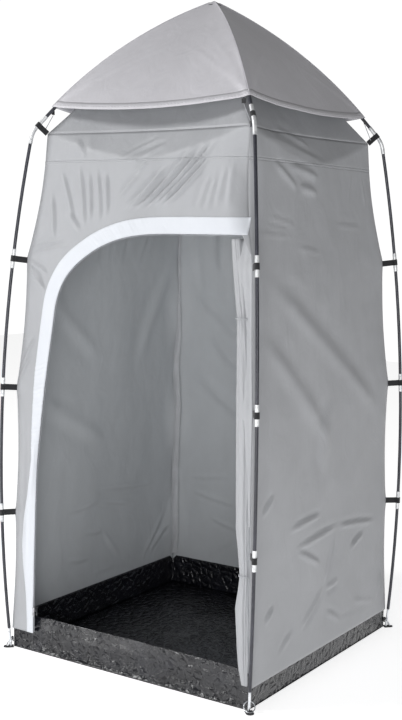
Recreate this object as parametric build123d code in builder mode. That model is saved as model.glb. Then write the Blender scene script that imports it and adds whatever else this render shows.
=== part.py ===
"""Privacy shower tent: a square cabin of cloth hung inside four bent poles.

Millimetres, +Z up. The origin is on the ground under the middle of the tent, the door looks
towards -Y, and each leg stands in a vertical plane through the tent's axis and one corner.
In those planes a point is (reach, height), where reach is its distance from the axis.
"""
import math
import os

from build123d import *

os.makedirs("parts", exist_ok=True)

# ---------------------------------------------------------------- driving dimensions
# Ground sheet: a tray whose sides stand up inside the walls
tub_half = 476.0            # half the side of the square floor
tub_skin = 1.2
tub_height = 114.0
sill_height = 118.0         # the front side, which nothing holds up
sill_lean = 24.0            # how far the sill leans into the tent

# Legs: one long arc each, in sections joined by metal ferrules
rod_radius = 5.5
rod_bore = 3.5
leg_bow_radius = 6140.0
belly_reach = 41.0          # the leg's widest point, past the ground sheet's corner
belly_height = 623.0
foot_top = 66.0             # lower end of the lowest rod, on its steel foot
first_ferrule = 474.0
ferrule_pitch = 432.0
ferrule_count = 3
ferrule_length = 64.0
ferrule_wall = 1.2
rod_fit = 0.05              # radial clearance of a rod in a ferrule or an elbow
rod_end_gap = 1.0
leg_ferrule_ease = 0.1      # straight sleeves on bent rods have wider bores
roof_ferrule_ease = 0.4

# Elbows: bent steel tubes that turn the legs in over the roof
elbow_height = 1718.0
elbow_socket = 15.0
elbow_bend_radius = 85.0
elbow_tail = 45.0
eave_slope = 48.0           # degrees, where the roof rod leaves the elbow
crown_slope = 22.5          # degrees, where it enters the crown hub
socket_depth = 14.0         # how far a rod goes into an elbow

# Crown hub
hub_reach = 25.0            # where the roof rods end, from the axis
hub_radius = 24.0
hub_thickness = 18.0
hub_socket_radius = 8.2
hub_socket_end = 54.0
hub_socket_floor = 18.0
hub_fit = 0.2
hub_edge = 2.0

# Steel feet, rings for the pegs and the webbing that holds them
foot_radius = 4.2
foot_plug_radius = 3.3
foot_plug_length = 32.0
tab_thickness = 2.0
tab_width = 25.0
tab_overhang = 35.0         # past the ground sheet's corner
ring_radius = 17.2
ring_wire = 1.75
ring_tilt = 55.0            # degrees from the ground, leaning on the tent's corner
ring_ground_gap = 0.35
loop_bore = 2.6
loop_wall = 1.0
loop_width = 8.0
loop_gap = 0.4
loop_tail = 16.0            # webbing below the loop, down to the tab
tab_gap = 0.3
pin_tip_gap = 0.6
cord_radius = 1.25          # elastic shock cord inside the poles
cord_end_gap = 2.0

# Walls and yoke
cloth = 1.2
wall_flare = 3.5            # the wall's hem stands this far outside the ground sheet
wall_hem = 66.0             # height of the wall's hem
strap_reach = 48.0          # from the corner seam to the middle of the pole
yoke_drop = 61.0            # yoke seam below the elbow's start
yoke_gap = 55.0             # from the yoke seam's corner to the pole
seam_fin = 11.0             # width of the bound seam allowance inside each corner
seam_fin_thickness = 1.0
seam_fin_gap = 4.0          # above the ground sheet's side
seam_inset = 1.9            # from the walls' outer faces to the fin

# Straps
webbing = 1.6
strap_height = 20.0
strap_slack = 0.15
strap_end_gap = 0.8         # short of the corner seam
shoulder_strap_reach = 41.0
shoulder_strap_height = 18.0
shoulder_strap_place = 6.0  # along the elbow's straight tail

# Inner roof
vent_half = 245.0           # where the cloth stops and the mesh begins
vent_rise = 176.0           # above the shoulder
eave_half_drop = 66.0       # the roof's first, steeper strip: inward run
eave_rise = 86.0            # and rise
patch_half = 21.0
patch_drop = 62.0           # crown patch below the roof rods' ends
patch_seam = 1.0
mesh_seam = 0.3
hanger_width = 20.0
hanger_thickness = 2.4
hanger_gap = 0.3

# Door
door_margin = 92.0          # from the ground sheet's left side to the left jamb
door_head = 1428.0
door_head_run = 258.0       # straight part of the head, from the right
door_head_right = 392.0     # right end of the white band
jamb_straight = 480.0       # the jamb is straight up to here
door_knees = ((0.068, 0.405), (0.127, 0.68), (0.19, 0.817), (0.4, 0.929))   # shares of the bend's run and rise
band_jamb_width = 36.0
band_head_width = 53.0
band_skin = 0.8
zip_tape_width = 12.0
zip_coil_width = 5.0
zip_thickness = 2.0

# Zip slider and its pulls
slider_height = 16.0
slider_park = 150.0
slider_clear = 0.4
slider_plate = 1.6
pull_length = 28.0
pull_width = 6.0
pull_thickness = 1.4
pull_pin_radius = 1.5
pull_stand = 4.6            # from the slider's plate to the middle of a pull's pin
pull_pin_drop = 3.0         # the pin is this far below the slider's top
bridge_thickness = 1.0      # the slider's two cheeks that carry the pin
bridge_height = 5.0
bridge_gap = 0.4
slider_nose_length = 4.0

# Rolled door, its ties and toggles
door_gap = 1.6              # from the right wall's inner face
door_front_gap = 1.0        # behind the front wall's outer face
door_cloth = 1.2
roll_bottom = 72.0
roll_top = 1418.0
tie_height = 6.0
tie_thickness = 1.3
tie_clear = 0.5
tie_slot_margin = 6.0       # past the roll's edge and middle, in the flange's slot
tie_slot_clear = 0.4
lower_tie_height = 407.0
upper_tie_height = 1180.0
toggle_radius = 4.0
toggle_length = 26.0
toggle_gap = 0.6

# Rain cover
cover_cloth = 1.0
cover_lift = 12.5           # from a roof rod's middle line straight up to the cover's underside
cover_hem_height = 1842.0
hem_height = 12.0
hem_thickness = 2.4
cover_tab_width = 14.0
cover_tab_drop = 14.0
cover_tab_place = 24.0      # from the cover's corner to the middle of the tab
hold_down_radius = 1.3
hold_down_gap = 0.5
hold_down_foot = (9.0, 12.0)    # from the cabin's shoulder, outwards and up, beside the strap

# ---------------------------------------------------------------- worked-out dimensions
ROOT2 = math.sqrt(2.0)
CORNERS = {"front_left": 225.0, "front_right": 315.0, "back_left": 135.0, "back_right": 45.0}
SIDES = {"front": 270.0, "left": 180.0, "right": 0.0, "back": 90.0}

corner_reach = tub_half * ROOT2
belly = corner_reach + belly_reach
ferrule_bore = rod_radius + rod_fit
ferrule_radius = ferrule_bore + ferrule_wall
ferrule_heights = [first_ferrule + ferrule_pitch * i for i in range(ferrule_count)]
half_span = tub_half + 100.0


def leg_reach(z):
    """Distance of the leg's middle line from the axis at height z."""
    return belly - leg_bow_radius + math.sqrt(leg_bow_radius**2 - (z - belly_height) ** 2)


def leg_lean(z):
    """Angle of the leg from the vertical, in radians, positive when it leans inwards."""
    return math.asin((z - belly_height) / leg_bow_radius)


# Elbow: straight socket, bend, straight tail, as points (reach, height)
rise = math.radians(90.0) - leg_lean(elbow_height)
eave = math.radians(eave_slope)
crown = math.radians(crown_slope)
elbow_start = (leg_reach(elbow_height), elbow_height)
bend_start = (
    elbow_start[0] - elbow_socket * math.cos(rise),
    elbow_start[1] + elbow_socket * math.sin(rise),
)
bend_end = (
    bend_start[0] - elbow_bend_radius * (math.sin(rise) - math.sin(eave)),
    bend_start[1] + elbow_bend_radius * (math.cos(eave) - math.cos(rise)),
)
half_turn = (rise + eave) / 2.0
bend_middle = (
    bend_start[0] - elbow_bend_radius * (math.sin(rise) - math.sin(half_turn)),
    bend_start[1] + elbow_bend_radius * (math.cos(half_turn) - math.cos(rise)),
)
elbow_end = (
    bend_end[0] - elbow_tail * math.cos(eave),
    bend_end[1] + elbow_tail * math.sin(eave),
)

# Roof rods: one arc from the elbow's end to the hub
roof_radius = (elbow_end[0] - hub_reach) / (math.sin(eave) - math.sin(crown))
roof_centre = (
    elbow_end[0] - roof_radius * math.sin(eave),
    elbow_end[1] - roof_radius * math.cos(eave),
)


def roof_height(reach):
    """Height of the roof rod's middle line at this distance from the axis."""
    return roof_centre[1] + math.sqrt(roof_radius**2 - (reach - roof_centre[0]) ** 2)


def roof_slope(reach):
    """Slope of the roof rod, in radians, at this distance from the axis."""
    return math.asin((reach - roof_centre[0]) / roof_radius)


hub_height = roof_height(hub_reach)
roof_ferrule_reach = (elbow_end[0] + hub_reach) / 2.0

# The shoulder: where the shoulder strap holds the cabin's top corner
strap_on_elbow = (
    bend_end[0] - shoulder_strap_place * math.cos(eave),
    bend_end[1] + shoulder_strap_place * math.sin(eave),
)
shoulder = (
    strap_on_elbow[0] - shoulder_strap_reach * math.sin(eave),
    strap_on_elbow[1] - shoulder_strap_reach * math.cos(eave),
)
shoulder_half = shoulder[0] / ROOT2
shoulder_height = shoulder[1]
yoke_height = elbow_height - yoke_drop
yoke_half = (leg_reach(yoke_height) - yoke_gap) / ROOT2
hem_half = tub_half + wall_flare
strap_halves = [(leg_reach(z) - strap_reach) / ROOT2 for z in ferrule_heights]

door_left = -(tub_half - door_margin)
zip_direction = Vector(0, hem_half - strap_halves[0], first_ferrule - wall_hem).normalized()


# ---------------------------------------------------------------- planes and shared shapes
def upright(angle):
    """Vertical plane through the axis: local X points outwards at this angle, local Y is up."""
    turn = math.radians(angle)
    outward = (math.cos(turn), math.sin(turn), 0)
    return Plane(origin=(0, 0, 0), x_dir=outward, z_dir=(math.sin(turn), -math.cos(turn), 0))


def world(angle, point):
    """A (reach, height) point of the plane at this angle, as a point in space."""
    return upright(angle).from_local_coords(Vector(point[0], point[1], 0))


def across_pole(angle, point, slope):
    """Plane across a pole at a point: Z along the pole, X square to it and inwards."""
    plane = upright(angle)
    along = plane.x_dir * -math.cos(slope) + Vector(0, 0, math.sin(slope))
    inward = plane.x_dir * -math.sin(slope) + Vector(0, 0, -math.cos(slope))
    return Plane(origin=world(angle, point), x_dir=inward, z_dir=along)


def save(piece, name):
    """Label a finished piece and write its STEP file."""
    piece.part.label = name
    export_step(piece.part, f"parts/{name}.step")


def leg_points(low, high):
    """Start, middle and end of a stretch of the leg's arc."""
    heights = (low, (low + high) / 2.0, high)
    return [(leg_reach(z), z) for z in heights]


def roof_points(outer, inner):
    """Start, middle and end of a stretch of the roof rod's arc, from the eave to the crown."""
    reaches = (outer, (outer + inner) / 2.0, inner)
    return [(r, roof_height(r)) for r in reaches]


def wall_half(z):
    """Half the cabin's width at height z, between the hem and the yoke seam."""
    heights = [wall_hem, *ferrule_heights, yoke_height]
    halves = [hem_half, *strap_halves, yoke_half]
    for i in range(len(heights) - 1):
        if z <= heights[i + 1] or i == len(heights) - 2:
            share = (z - heights[i]) / (heights[i + 1] - heights[i])
            return halves[i] + share * (halves[i + 1] - halves[i])


def wall_outline(outer_shift, inner_shift):
    """Closed outline of a wall's section between two shifts of its outer face."""
    heights = [wall_hem, *ferrule_heights, yoke_height]
    outline = [(wall_half(z), z) for z in heights]
    Polyline(*[(a + outer_shift, z) for a, z in outline])
    Polyline(*[(a + inner_shift, z) for a, z in outline])
    for a, z in (outline[0], outline[-1]):
        Line((a + outer_shift, z), (a + inner_shift, z))


def mitre(angle):
    """Trim the open part to one quarter of the square, so that neighbours meet on the diagonals."""
    for side in (-45.0, 45.0):
        turn = math.radians(angle + side)
        edge = (math.cos(turn), math.sin(turn), 0)
        keep = (edge[1], -edge[0], 0) if side > 0 else (-edge[1], edge[0], 0)
        split(bisect_by=Plane(origin=(0, 0, 0), x_dir=(0, 0, 1), z_dir=keep), keep=Keep.TOP)


def strip(angle, low, high, drop):
    """A straight strip of cloth between two (half-width, height) points, inside its outer face."""
    with BuildPart() as piece:
        with BuildSketch(upright(angle)):
            with BuildLine():
                Polyline(low, high, (high[0], high[1] - drop), (low[0], low[1] - drop), close=True)
            make_face()
        extrude(amount=half_span, both=True)
        mitre(angle)
    return piece


def door_curve(step):
    """The opening's free edge, moved outwards by step at the jamb and by its share at the head."""
    share = (band_head_width - band_jamb_width) / band_jamb_width
    head = door_head + step * (1.0 + share)
    left = door_left - step
    turn = door_head_right - door_head_run
    run = turn - left
    up = head - jamb_straight
    knees = [(left + across * run, jamb_straight + share_up * up) for across, share_up in door_knees]
    jamb = Line((left, 0), (left, jamb_straight))
    bend = Spline((left, jamb_straight), *knees, (turn, head), tangents=[(0, 1), (1, 0)])
    return jamb, bend, head


# ---------------------------------------------------------------- ground sheet
with BuildPart() as groundsheet_tub:
    Box(2 * tub_half, 2 * tub_half, tub_skin, align=(Align.CENTER, Align.CENTER, Align.MIN))
    for x in (-tub_half + tub_skin / 2, tub_half - tub_skin / 2):
        with Locations((x, 0, 0)):
            Box(tub_skin, 2 * tub_half, tub_height, align=(Align.CENTER, Align.CENTER, Align.MIN))
    with Locations((0, tub_half - tub_skin / 2, 0)):
        Box(2 * tub_half, tub_skin, tub_height, align=(Align.CENTER, Align.CENTER, Align.MIN))
    with BuildSketch(Plane.YZ):
        with BuildLine():
            Polyline(
                (-tub_half, 0),
                (-tub_half + tub_skin, 0),
                (-tub_half + tub_skin + sill_lean, sill_height),
                (-tub_half + sill_lean, sill_height),
                close=True,
            )
        make_face()
    extrude(amount=tub_half - tub_skin / 2, both=True)
save(groundsheet_tub, "groundsheet_tub")

# ---------------------------------------------------------------- walls
for side, angle in SIDES.items():
    with BuildPart() as wall:
        with BuildSketch(upright(angle)):
            with BuildLine():
                wall_outline(0.0, -cloth)
            make_face()
        extrude(amount=half_span, both=True)
        mitre(angle)
        if side == "front":
            with BuildSketch(Plane.XZ):
                with BuildLine():
                    jamb, bend, head = door_curve(0.0)
                    Polyline(bend @ 1, (half_span, head), (half_span, 0), jamb @ 0)
                make_face()
            extrude(amount=half_span, mode=Mode.SUBTRACT)
    save(wall, f"{side}_wall")

for side, angle in SIDES.items():
    yoke_foot = (yoke_half, yoke_height)
    yoke_top = (shoulder_half, shoulder_height)
    with BuildPart() as yoke:
        with BuildSketch(upright(angle)):
            with BuildLine():
                Polyline(
                    yoke_foot,
                    yoke_top,
                    (yoke_top[0] - cloth, yoke_top[1]),
                    (yoke_foot[0] - cloth, yoke_foot[1]),
                    close=True,
                )
            make_face()
        extrude(amount=half_span, both=True)
        mitre(angle)
    save(yoke, f"yoke_{side}")

# ---------------------------------------------------------------- inner roof and its mesh vent
roof_foot = (shoulder_half, shoulder_height)
roof_knee = (shoulder_half - eave_half_drop, shoulder_height + eave_rise)
vent_edge = (vent_half, shoulder_height + vent_rise)
patch_edge = (patch_half, hub_height - patch_drop)
for side, angle in SIDES.items():
    with BuildPart() as roof_panel:
        with BuildSketch(upright(angle)):
            with BuildLine():
                Polyline(
                    roof_foot,
                    roof_knee,
                    vent_edge,
                    (vent_edge[0], vent_edge[1] - 1.5 * cloth),
                    (roof_knee[0] - cloth, roof_knee[1] - cloth),
                    (roof_foot[0] - 2 * cloth, roof_foot[1]),
                    close=True,
                )
            make_face()
        extrude(amount=half_span, both=True)
        mitre(angle)
    save(roof_panel, f"roof_panel_{side}")

with BuildPart() as roof_mesh:
    for angle in SIDES.values():
        facet = strip(angle, vent_edge, patch_edge, cloth)
        add(facet.part)
    # the four panels meet at sewn seams on the diagonals
    for angle in (45.0, 135.0):
        with BuildSketch(Plane(origin=(0, 0, 0), x_dir=upright(angle).x_dir, z_dir=(0, 0, 1))):
            Rectangle(4 * vent_half, mesh_seam)
        extrude(amount=hub_height, mode=Mode.SUBTRACT)
save(roof_mesh, "roof_mesh")

with BuildPart() as crown_hanger:
    with Locations((0, 0, patch_edge[1])):
        Box(2 * patch_half - patch_seam, 2 * patch_half - patch_seam, 2 * cloth)
    top = hub_height - hub_thickness / 2 - hanger_gap
    with Locations((0, 0, patch_edge[1])):
        Box(
            hanger_width,
            hanger_thickness,
            top - patch_edge[1],
            align=(Align.CENTER, Align.CENTER, Align.MIN),
        )
save(crown_hanger, "crown_hanger")

# ---------------------------------------------------------------- bound seams inside the corners
with BuildPart() as corner_seam_bindings:
    for corner, angle in CORNERS.items():
        heights = [tub_height + seam_fin_gap, *ferrule_heights, yoke_height]
        if corner == "front_right":
            heights = [door_head + seam_fin_gap, yoke_height]
        inside = [((wall_half(z) - seam_inset) * ROOT2, z) for z in heights]
        with BuildSketch(upright(angle)):
            with BuildLine():
                Polyline(*inside)
                Polyline(*[(r - seam_fin, z) for r, z in inside])
                Line(inside[0], (inside[0][0] - seam_fin, inside[0][1]))
                Line(inside[-1], (inside[-1][0] - seam_fin, inside[-1][1]))
            make_face()
        extrude(amount=seam_fin_thickness / 2, both=True)
save(corner_seam_bindings, "corner_seam_bindings")

# ---------------------------------------------------------------- door trim and zip
with BuildPart() as door_trim_band:
    with BuildSketch(upright(SIDES["front"])):
        with BuildLine():
            wall_outline(band_skin, 0.0)
        make_face()
    extrude(amount=half_span, both=True)
    with BuildSketch(Plane.XZ):
        with BuildLine():
            outer_jamb, outer_bend, outer_head = door_curve(band_jamb_width)
            inner_jamb, inner_bend, inner_head = door_curve(0.0)
            right_end = [(door_head_right, outer_head), (door_head_right, inner_head)]
            Polyline(outer_bend @ 1, *right_end, inner_bend @ 1)
            Line(outer_jamb @ 0, inner_jamb @ 0)
        make_face()
    extrude(amount=half_span, mode=Mode.INTERSECT)
save(door_trim_band, "door_trim_band")

with BuildPart() as door_zip:
    with BuildSketch(upright(SIDES["front"])):
        with BuildLine():
            wall_outline(-cloth, -cloth - zip_thickness)
        make_face()
    extrude(amount=half_span, both=True)
    with BuildSketch(Plane.XZ):
        with BuildLine():
            outer_jamb, outer_bend, outer_head = door_curve(zip_tape_width)
            inner_jamb, inner_bend, inner_head = door_curve(-zip_coil_width)
            right_end = [(door_head_right, outer_head), (door_head_right, inner_head)]
            Polyline(outer_bend @ 1, *right_end, inner_bend @ 1)
            Line(outer_jamb @ 0, inner_jamb @ 0)
        make_face()
    extrude(amount=half_span, mode=Mode.INTERSECT)
save(door_zip, "door_zip")

# The slider wraps the coil's free edge and runs straight up the jamb
coil_middle = -cloth - zip_thickness / 2
coil_edge = door_left + zip_coil_width
park_half = wall_half(slider_park)
slider_plane = Plane(
    origin=(coil_edge, -(park_half + coil_middle), slider_park),
    x_dir=(1, 0, 0),
    z_dir=zip_direction,
)
slot_half = zip_thickness / 2 + slider_clear
slider_half = slot_half + slider_plate
slider_back = zip_coil_width - 2 * slider_clear
slider_nose = slider_clear + slider_nose_length
pull_depths = {"outer": -(slider_half + pull_stand), "inner": slider_half + pull_stand}
with BuildPart() as zip_slider:
    with BuildSketch(slider_plane):
        with Locations(((slider_nose - slider_back) / 2, 0)):
            Rectangle(slider_nose + slider_back, 2 * slider_half)
        with Locations(((slider_clear - slider_back) / 2, 0)):
            Rectangle(slider_clear + slider_back, 2 * slot_half, mode=Mode.SUBTRACT)
    extrude(amount=slider_height / 2, both=True)
    # a pair of cheeks on each plate, with the pull's pin between them
    with BuildSketch(slider_plane.offset(slider_height / 2 - pull_pin_drop - bridge_height / 2)):
        cheek = pull_width / 2 + bridge_gap + bridge_thickness / 2
        reach_out = pull_stand + pull_pin_radius
        for depth in pull_depths.values():
            side_sign = math.copysign(1.0, depth)
            for x in (-cheek, cheek):
                with Locations((x, side_sign * (slider_half + reach_out / 2))):
                    Rectangle(bridge_thickness, reach_out)
    extrude(amount=bridge_height)
save(zip_slider, "zip_slider")

# Each pull hangs from its pin between the slider's cheeks
for name, depth in pull_depths.items():
    with BuildPart() as pull:
        with BuildSketch(slider_plane.offset(slider_height / 2 - pull_pin_drop)):
            with Locations((0, depth)):
                Rectangle(pull_width, pull_thickness)
        extrude(amount=-pull_length)
        pin_plane = Plane(
            origin=slider_plane.from_local_coords(Vector(0, depth, slider_height / 2 - pull_pin_drop)),
            x_dir=(0, 1, 0),
            z_dir=(1, 0, 0),
        )
        with BuildSketch(pin_plane):
            Circle(pull_pin_radius)
        extrude(amount=pull_width / 2, both=True)
    save(pull, f"zip_pull_{name}")

# ---------------------------------------------------------------- rolled door
# Stations of the roll: height, width, depth and extra distance from the corner
stations = [
    (roll_bottom, 26.0, 11.0, 3.0),
    (sill_height, 40.0, 18.0, 3.0),
    (sill_height + 62.0, 50.0, 28.0, 2.0),
    (lower_tie_height - 105.0, 62.0, 42.0, 1.0),
    (lower_tie_height - tie_height, 42.0, 30.0, 3.0),
    (lower_tie_height + tie_height, 42.0, 30.0, 3.0),
    (lower_tie_height + 140.0, 64.0, 44.0, 1.0),
    (upper_tie_height - 300.0, 68.0, 46.0, 2.0),
    (upper_tie_height - tie_height, 46.0, 34.0, 18.0),
    (upper_tie_height + tie_height, 46.0, 34.0, 18.0),
    (upper_tie_height + 140.0, 52.0, 34.0, 26.0),
    (roll_top, 36.0, 22.0, 42.0),
]


def roll_centre(z, width, depth, away):
    """Middle of the roll's section at height z, tucked into the front right corner."""
    corner = wall_half(z)
    return (corner - cloth - door_gap - away - width / 2, -corner + door_front_gap + depth / 2)


with BuildPart() as rolled_door:
    for z, width, depth, away in stations:
        with BuildSketch(Plane.XY.offset(z)):
            with Locations(roll_centre(z, width, depth, away)):
                Ellipse(width / 2, depth / 2)
    loft(ruled=True)
    # the flat strip of cloth between the corner seam and the roll
    with BuildPart(mode=Mode.PRIVATE) as flange:
        with BuildSketch(upright(SIDES["front"])):
            with BuildLine():
                wall_outline(-door_front_gap, -door_front_gap - door_cloth)
            make_face()
        extrude(amount=half_span, both=True)
        with BuildSketch(Plane.XZ):
            with BuildLine():
                edge = [
                    (wall_half(z) - cloth - door_gap, z)
                    for z in (stations[6][0], ferrule_heights[1], ferrule_heights[2], roll_top)
                ]
                back = [
                    (roll_centre(*stations[i])[0], stations[i][0]) for i in (11, 10, 9, 8, 7, 6)
                ]
                Polyline(*edge, *back, close=True)
            make_face()
        extrude(amount=half_span, mode=Mode.INTERSECT)
        # a gap where the upper tie goes round the roll
        tied = roll_centre(*stations[8])
        with BuildSketch(Plane.XZ):
            with Locations((tied[0] + stations[8][1] / 2 - tie_slot_margin, upper_tie_height)):
                Rectangle(stations[8][1] + 2 * tie_slot_margin, tie_height)
        extrude(amount=half_span, mode=Mode.SUBTRACT)
    add(flange.part)
save(rolled_door, "rolled_door")

ties = {"lower": (lower_tie_height, stations[4]), "upper": (upper_tie_height, stations[8])}
for name, (height, station) in ties.items():
    centre = roll_centre(height, *station[1:])
    half_x = station[1] / 2 + tie_clear
    half_y = station[2] / 2 + tie_clear
    with BuildPart() as tie:
        with BuildSketch(Plane.XY.offset(height)):
            with Locations(centre):
                Ellipse(half_x + tie_thickness, half_y + tie_thickness)
                Ellipse(half_x, half_y, mode=Mode.SUBTRACT)
        extrude(amount=tie_height / 2 - tie_slot_clear, both=True)
    save(tie, f"door_tie_{name}")
    toggle_y = centre[1] + half_y + tie_thickness + toggle_gap + toggle_radius
    with BuildPart() as toggle:
        with BuildSketch(Plane.XY.offset(height - toggle_length / 2)):
            with Locations((centre[0], toggle_y)):
                Circle(toggle_radius)
        extrude(amount=toggle_length)
        fillet(toggle.edges().filter_by(GeomType.CIRCLE), radius=toggle_radius * 0.4)
        with BuildSketch(Plane.XY.offset(height)):
            with Locations((centre[0], toggle_y)):
                Circle(toggle_radius + 0.2)
                Circle(toggle_radius - 0.8, mode=Mode.SUBTRACT)
        extrude(amount=1.6, both=True, mode=Mode.SUBTRACT)
    save(toggle, f"toggle_{name}")

# ---------------------------------------------------------------- pole sections
for corner, angle in CORNERS.items():
    joints = [foot_top, *ferrule_heights, elbow_height + socket_depth * math.sin(rise)]
    with BuildPart() as leg_rods:
        for i in range(len(joints) - 1):
            low = joints[i] + (rod_end_gap / 2 if i else 0.0)
            high = joints[i + 1] - rod_end_gap / 2
            with BuildLine(upright(angle)) as rod_line:
                ThreePointArc(*leg_points(low, high))
            with BuildSketch(across_pole(angle, leg_points(low, high)[0], math.pi / 2 - leg_lean(low))):
                Circle(rod_radius)
                Circle(rod_bore, mode=Mode.SUBTRACT)
            sweep()
    save(leg_rods, f"leg_rods_{corner}")

for corner, angle in CORNERS.items():
    with BuildPart() as elbow:
        with BuildLine(upright(angle)) as elbow_line:
            Line(elbow_start, bend_start)
            ThreePointArc(bend_start, bend_middle, bend_end)
            Line(bend_end, elbow_end)
        with BuildSketch(across_pole(angle, elbow_start, rise)):
            Circle(ferrule_radius)
            Circle(ferrule_bore, mode=Mode.SUBTRACT)
        sweep()
    save(elbow, f"elbow_{corner}")

for corner, angle in CORNERS.items():
    spans = [
        (elbow_end[0] - 0.01, roof_ferrule_reach + rod_end_gap / 2),
        (roof_ferrule_reach - rod_end_gap / 2, hub_reach),
    ]
    with BuildPart() as roof_rods:
        for outer, inner in spans:
            with BuildLine(upright(angle)):
                ThreePointArc(*roof_points(outer, inner))
            with BuildSketch(across_pole(angle, roof_points(outer, inner)[0], roof_slope(outer))):
                Circle(rod_radius)
                Circle(rod_bore, mode=Mode.SUBTRACT)
            sweep()
        # the stub inside the elbow is straight, as the elbow's tail is
        stub_plane = across_pole(angle, (elbow_end[0], elbow_end[1]), eave)
        with BuildSketch(stub_plane):
            Circle(rod_radius)
            Circle(rod_bore, mode=Mode.SUBTRACT)
        extrude(amount=-socket_depth)
    save(roof_rods, f"roof_rods_{corner}")

with BuildPart() as pole_ferrules:
    for angle in CORNERS.values():
        for z in ferrule_heights:
            centre_plane = across_pole(angle, (leg_reach(z), z), math.pi / 2 - leg_lean(z))
            with BuildSketch(centre_plane):
                Circle(ferrule_radius)
                Circle(ferrule_bore + leg_ferrule_ease, mode=Mode.SUBTRACT)
            extrude(amount=ferrule_length / 2, both=True)
        top_point = (roof_ferrule_reach, roof_height(roof_ferrule_reach))
        with BuildSketch(across_pole(angle, top_point, roof_slope(roof_ferrule_reach))):
            Circle(ferrule_radius)
            Circle(ferrule_bore + roof_ferrule_ease, mode=Mode.SUBTRACT)
        extrude(amount=ferrule_length / 2, both=True)
save(pole_ferrules, "pole_ferrules")

for corner, angle in CORNERS.items():
    cord_foot = foot_top + foot_plug_length + cord_end_gap
    with BuildPart() as shock_cord:
        with BuildLine(upright(angle)):
            ThreePointArc(*leg_points(cord_foot, elbow_height))
            Line(elbow_start, bend_start)
            ThreePointArc(bend_start, bend_middle, bend_end)
            Line(bend_end, elbow_end)
            ThreePointArc(*roof_points(elbow_end[0], hub_reach))
        foot_point = (leg_reach(cord_foot), cord_foot)
        with BuildSketch(across_pole(angle, foot_point, math.pi / 2 - leg_lean(cord_foot))):
            Circle(cord_radius)
        sweep()
    save(shock_cord, f"shock_cord_{corner}")

# ---------------------------------------------------------------- crown hub
with BuildPart() as crown_hub:
    with BuildSketch(Plane.XY.offset(hub_height - hub_thickness / 2)):
        Circle(hub_radius)
    extrude(amount=hub_thickness)
    fillet(crown_hub.edges().filter_by(GeomType.CIRCLE), radius=hub_edge)
    for angle in CORNERS.values():
        socket_start = (hub_socket_end, roof_height(hub_socket_end))
        socket_length = (hub_socket_end - hub_reach / 2) / math.cos(crown)
        with BuildSketch(across_pole(angle, socket_start, (crown + roof_slope(hub_socket_end)) / 2)):
            Circle(hub_socket_radius)
        extrude(amount=socket_length)
    for angle in CORNERS.values():
        socket_start = (hub_socket_end, roof_height(hub_socket_end))
        bore_length = (hub_socket_end - hub_socket_floor) / math.cos(crown)
        with BuildSketch(across_pole(angle, socket_start, (crown + roof_slope(hub_socket_end)) / 2)):
            Circle(rod_radius + hub_fit)
        extrude(amount=bore_length, mode=Mode.SUBTRACT)
save(crown_hub, "crown_hub")

# ---------------------------------------------------------------- feet, tabs and peg rings
with BuildPart() as foot_pins:
    for angle in CORNERS.values():
        foot = (leg_reach(foot_top), foot_top)
        lean_plane = across_pole(angle, foot, math.pi / 2 - leg_lean(foot_top))
        down = (foot_top - tab_thickness) / math.cos(leg_lean(foot_top)) - pin_tip_gap
        with BuildSketch(lean_plane):
            Circle(foot_radius)
        extrude(amount=-down)
        with BuildSketch(lean_plane):
            Circle(foot_plug_radius)
        extrude(amount=foot_plug_length)
save(foot_pins, "foot_pins")

loop_radius = loop_bore + loop_wall
ring_hinge = (
    corner_reach + loop_radius + loop_gap,
    tab_thickness + ring_ground_gap + ring_wire + 2 * ring_radius * math.sin(math.radians(ring_tilt)),
)
with BuildPart() as foot_tabs:
    for angle in CORNERS.values():
        plane = upright(angle)
        tab_end = corner_reach + tab_overhang - tab_width / 2
        with BuildSketch(Plane(origin=(0, 0, 0), x_dir=plane.x_dir, z_dir=(0, 0, 1))):
            with Locations(((corner_reach + tab_gap + tab_end) / 2, 0)):
                Rectangle(tab_end - corner_reach - tab_gap, tab_width)
            with Locations((tab_end, 0)):
                Circle(tab_width / 2)
            with Locations((corner_reach - tab_width / 2, 0)):
                Rectangle(tab_width + 2 * tab_gap, tab_width, mode=Mode.SUBTRACT)
        extrude(amount=tab_thickness)
        with BuildSketch(plane):
            with Locations(ring_hinge):
                Circle(loop_radius)
            tail_middle = ring_hinge[1] + 2 * loop_wall - loop_tail / 2
            with Locations((ring_hinge[0] - loop_radius / 2, tail_middle)):
                Rectangle(loop_radius, loop_tail)
            with Locations(ring_hinge):
                Circle(loop_bore, mode=Mode.SUBTRACT)
        extrude(amount=loop_width / 2, both=True)
save(foot_tabs, "foot_tabs")

for corner, angle in CORNERS.items():
    tilt = math.radians(ring_tilt)
    middle = (
        ring_hinge[0] + ring_radius * math.cos(tilt),
        ring_hinge[1] - ring_radius * math.sin(tilt),
    )
    outward = upright(angle).x_dir
    slope = outward * math.cos(tilt) + Vector(0, 0, -math.sin(tilt))
    normal = outward * math.sin(tilt) + Vector(0, 0, math.cos(tilt))
    with BuildPart() as foot_ring:
        ring_plane = Plane(origin=world(angle, middle), x_dir=slope, z_dir=normal)
        with Locations(ring_plane):
            Torus(ring_radius, ring_wire)
    save(foot_ring, f"foot_ring_{corner}")

# ---------------------------------------------------------------- straps
with BuildPart() as corner_straps:
    for angle in CORNERS.values():
        for z in ferrule_heights:
            with BuildSketch(across_pole(angle, (leg_reach(z), z), math.pi / 2 - leg_lean(z))):
                with Locations(((strap_reach - strap_end_gap) / 2, 0)):
                    Rectangle(strap_reach - strap_end_gap, 2 * webbing)
                Circle(ferrule_radius + strap_slack + webbing)
                Circle(ferrule_radius + strap_slack, mode=Mode.SUBTRACT)
            extrude(amount=strap_height / 2, both=True)
save(corner_straps, "corner_straps")

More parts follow.
